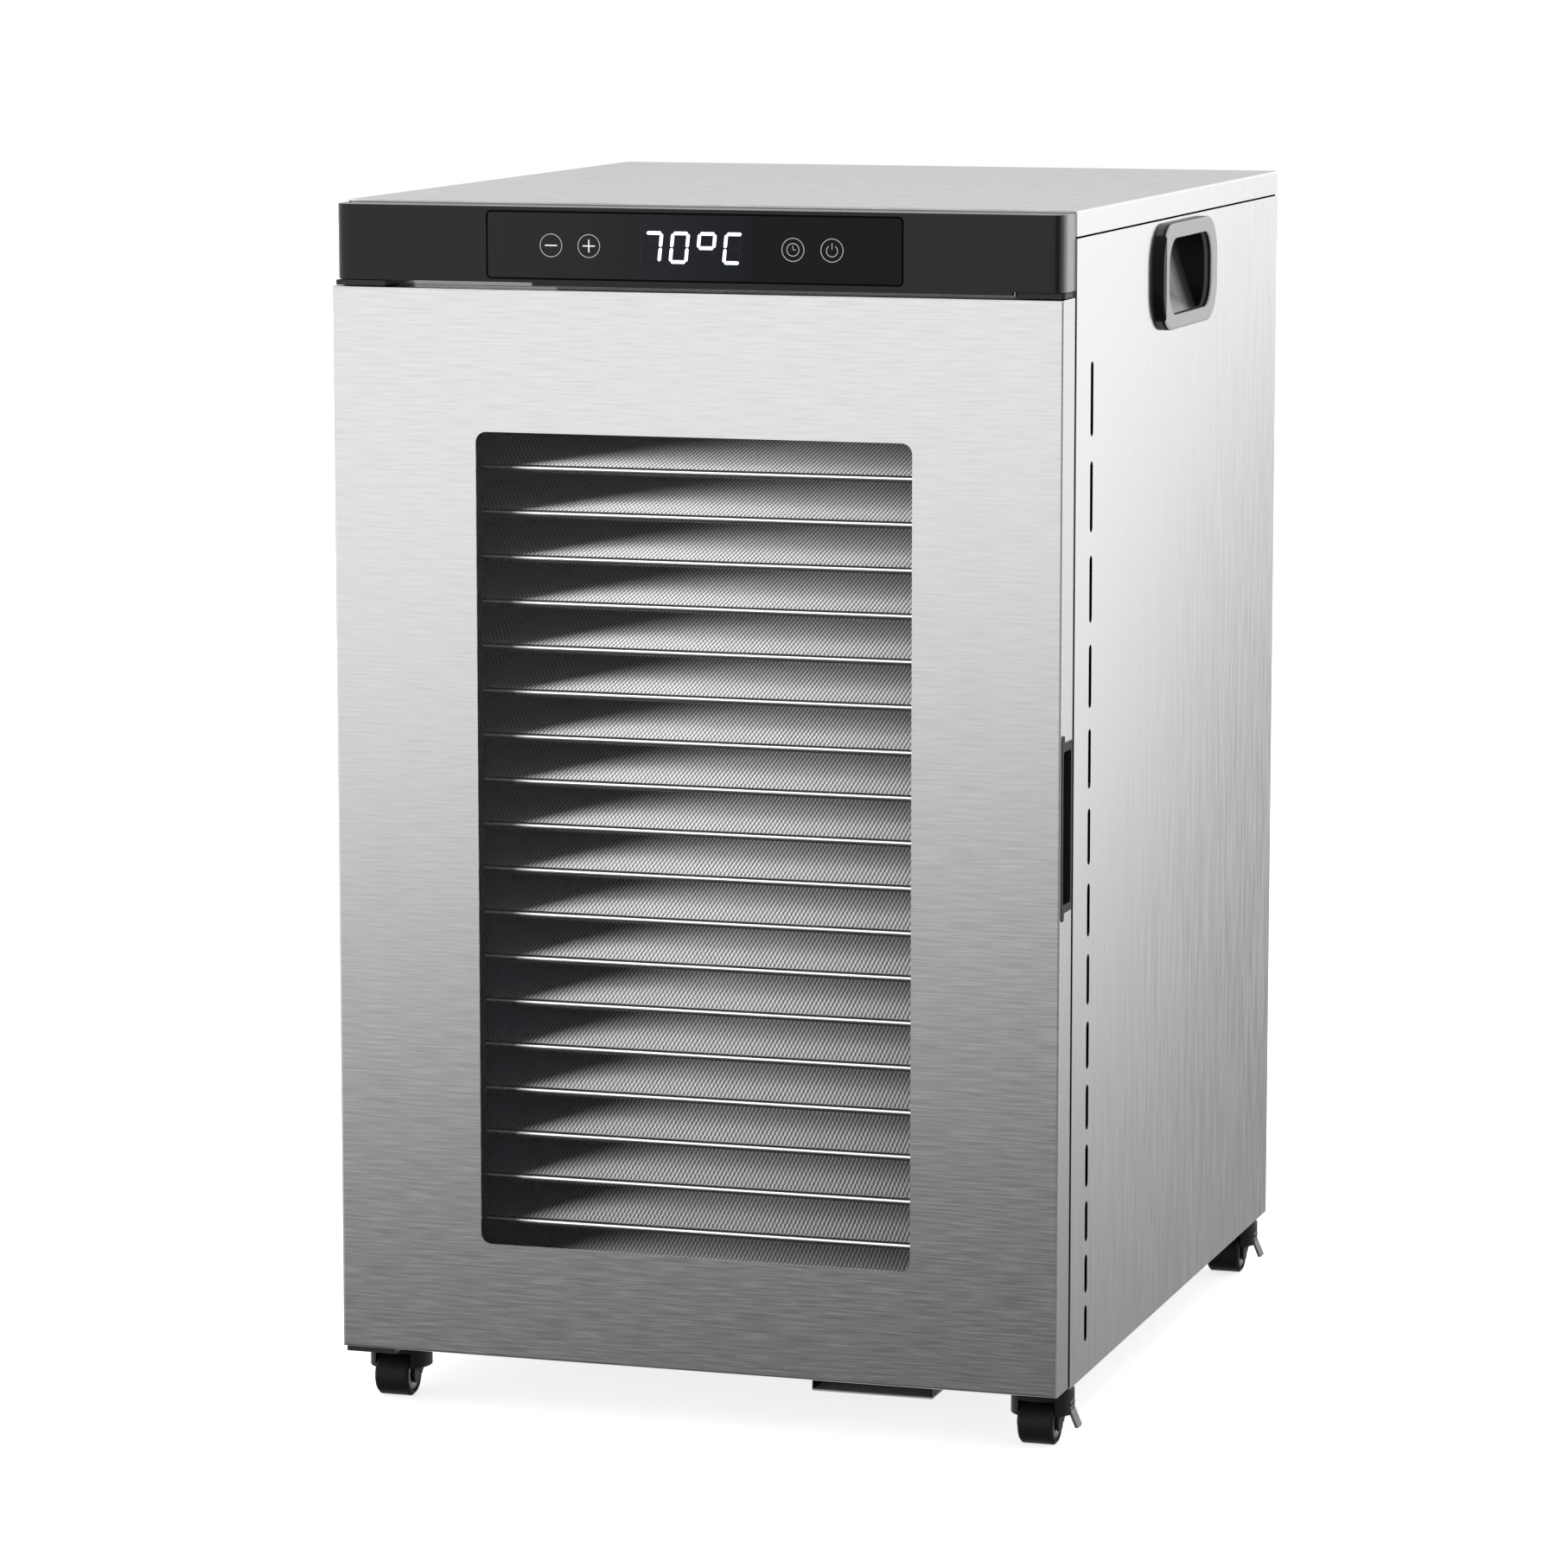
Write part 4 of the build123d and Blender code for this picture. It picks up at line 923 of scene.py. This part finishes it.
arm, half = MARK_ARM, MARK_LINE / 2
minus = [(-arm, -half), (arm, -half), (arm, half), (-arm, half)]
plus = [
    (-arm, -half), (-half, -half), (-half, -arm), (half, -arm),
    (half, -half), (arm, -half), (arm, half), (half, half),
    (half, arm), (-half, arm), (-half, half), (-arm, half),
]
marks = [[(minus_x + x, z) for x, z in minus], [(plus_x + x, z) for x, z in plus]]
on_fascia(raised(marks, SIGN_PROUD), "touch_marks", sign_white)


# Wheel hub covers: a plated ring in each face of each wheel

for name in nodes:
    if not name.endswith("_wheel"):
        continue
    low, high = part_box(name)
    _, y, z = ((a + b) / 2 for a, b in zip(low, high))
    rings = []
    for x, out in ((low[0] + WHEEL_RECESS, -1), (high[0] - WHEEL_RECESS, 1)):
        rings.append(turned(HUB_PROFILE, Vector((x, y, z)), ACROSS * out, HUB_STEPS))
    verts, faces = merge(rings)
    piece = mesh_object(name + "_hub_rings", verts, faces, smooth=True)
    piece.data.materials.append(zinc)
    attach(piece, name + "_body")


# Studio

def floor_material():
    """Pale floor that keeps the shadow and lets reflections see the world's walls."""
    mat, tree, shader = new_material("floor")
    shader.inputs["Base Color"].default_value = FLOOR_COLOUR
    shader.inputs["Roughness"].default_value = FLOOR_ROUGHNESS
    shader.inputs["Specular IOR Level"].default_value = 0.0
    path = tree.nodes.new("ShaderNodeLightPath")
    glow = tree.nodes.new("ShaderNodeEmission")
    glow.inputs["Strength"].default_value = FLOOR_GLOW
    glowing = tree.nodes.new("ShaderNodeAddShader")
    tree.links.new(shader.outputs["BSDF"], glowing.inputs[0])
    tree.links.new(glow.outputs["Emission"], glowing.inputs[1])
    seen = tree.nodes.new("ShaderNodeMixShader")
    tree.links.new(path.outputs["Is Camera Ray"], seen.inputs["Fac"])
    tree.links.new(shader.outputs["BSDF"], seen.inputs[1])
    tree.links.new(glowing.outputs["Shader"], seen.inputs[2])
    clear = tree.nodes.new("ShaderNodeBsdfTransparent")
    final = tree.nodes.new("ShaderNodeMixShader")
    tree.links.new(path.outputs["Is Glossy Ray"], final.inputs["Fac"])
    tree.links.new(seen.outputs["Shader"], final.inputs[1])
    tree.links.new(clear.outputs["BSDF"], final.inputs[2])
    tree.links.new(final.outputs["Shader"], tree.nodes["Material Output"].inputs["Surface"])
    return mat


floor_corners = [
    (x * FLOOR_HALF, y * FLOOR_HALF, 0) for x, y in ((-1, -1), (1, -1), (1, 1), (-1, 1))
]
floor = mesh_object("floor", floor_corners, [(0, 1, 2, 3)])
floor.data.materials.append(floor_material())
floor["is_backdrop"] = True


def tilted(tree, split, slope, x_middle, y_share, low, high):
    """The elevation's sine, shifted by how far to the side the direction points, within limits."""
    aside = calculate(tree, "MULTIPLY_ADD", split.outputs["Y"], -y_share, -x_middle)
    aside = calculate(tree, "ADD", split.outputs["X"], aside)
    shift = calculate(tree, "MULTIPLY", aside, slope)
    limit = tree.nodes.new("ShaderNodeClamp")
    limit.inputs["Min"].default_value = low
    limit.inputs["Max"].default_value = high
    tree.links.new(shift, limit.inputs["Value"])
    return calculate(tree, "ADD", split.outputs["Z"], limit.outputs["Result"])


def studio_world():
    """White behind the object; reflections see walls that darken towards the floor."""
    world = bpy.data.worlds.new("studio")
    world.use_nodes = True
    tree = world.node_tree
    coords = tree.nodes.new("ShaderNodeTexCoord")
    split = tree.nodes.new("ShaderNodeSeparateXYZ")
    tree.links.new(coords.outputs["Generated"], split.inputs["Vector"])
    slope, middle, low, high = FRONT_TILT
    front = grade(tree, tilted(tree, split, slope, middle, 0.0, low, high), FRONT_WALL)
    slope, share, low, high = BACK_TILT
    back = grade(tree, tilted(tree, split, slope, 0.0, share, low, high), BACK_WALL)
    not_left = smooth_step(tree, split.outputs["X"], *BACK_LEFT_FADE)
    back = mix_colours(tree, not_left, opaque(grey(BACK_LEFT_WALL)), back)
    to_right = smooth_step(tree, split.outputs["X"], *RIGHT_FADE)
    front = mix_colours(tree, to_right, front, opaque(grey(RIGHT_WALL)))
    walls = mix_colours(tree, smooth_step(tree, split.outputs["Y"], *FRONT_TO_BACK), front, back)
    path = tree.nodes.new("ShaderNodeLightPath")
    seen = mix_colours(tree, path.outputs["Is Camera Ray"], walls, opaque(grey(1.0)))
    tree.links.new(seen, tree.nodes["Background"].inputs["Color"])
    return world


def window_light():
    """A tall soft lamp for the trays alone, which it grazes; it doesn't show in the steel."""
    lamp = bpy.data.lights.new("window_light", "AREA")
    lamp.shape = "RECTANGLE"
    lamp.size, lamp.size_y = LIGHT_SIZE
    lamp.energy = LIGHT_POWER
    obj = bpy.data.objects.new("window_light", lamp)
    obj.location = LIGHT_PLACE
    aim = Vector(LIGHT_TARGET) - Vector(LIGHT_PLACE)
    obj.rotation_euler = aim.to_track_quat("-Z", "Y").to_euler()
    obj.visible_glossy = False
    obj.light_linking.receiver_collection = trays
    bpy.context.scene.collection.objects.link(obj)


bpy.context.scene.world = studio_world()
window_light()

camera = bpy.data.objects.new("camera", bpy.data.cameras.new("camera"))
camera.location = CAMERA_PLACE
camera.rotation_euler = (radians(90 - CAMERA_TILT), 0, radians(CAMERA_TURN))
camera.data.lens = CAMERA_LENS
camera.data.sensor_width = CAMERA_SENSOR
camera.data.clip_end = CAMERA_REACH
bpy.context.scene.collection.objects.link(camera)
bpy.context.scene.camera = camera
bpy.context.scene.view_settings.view_transform = "Standard"

low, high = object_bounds()
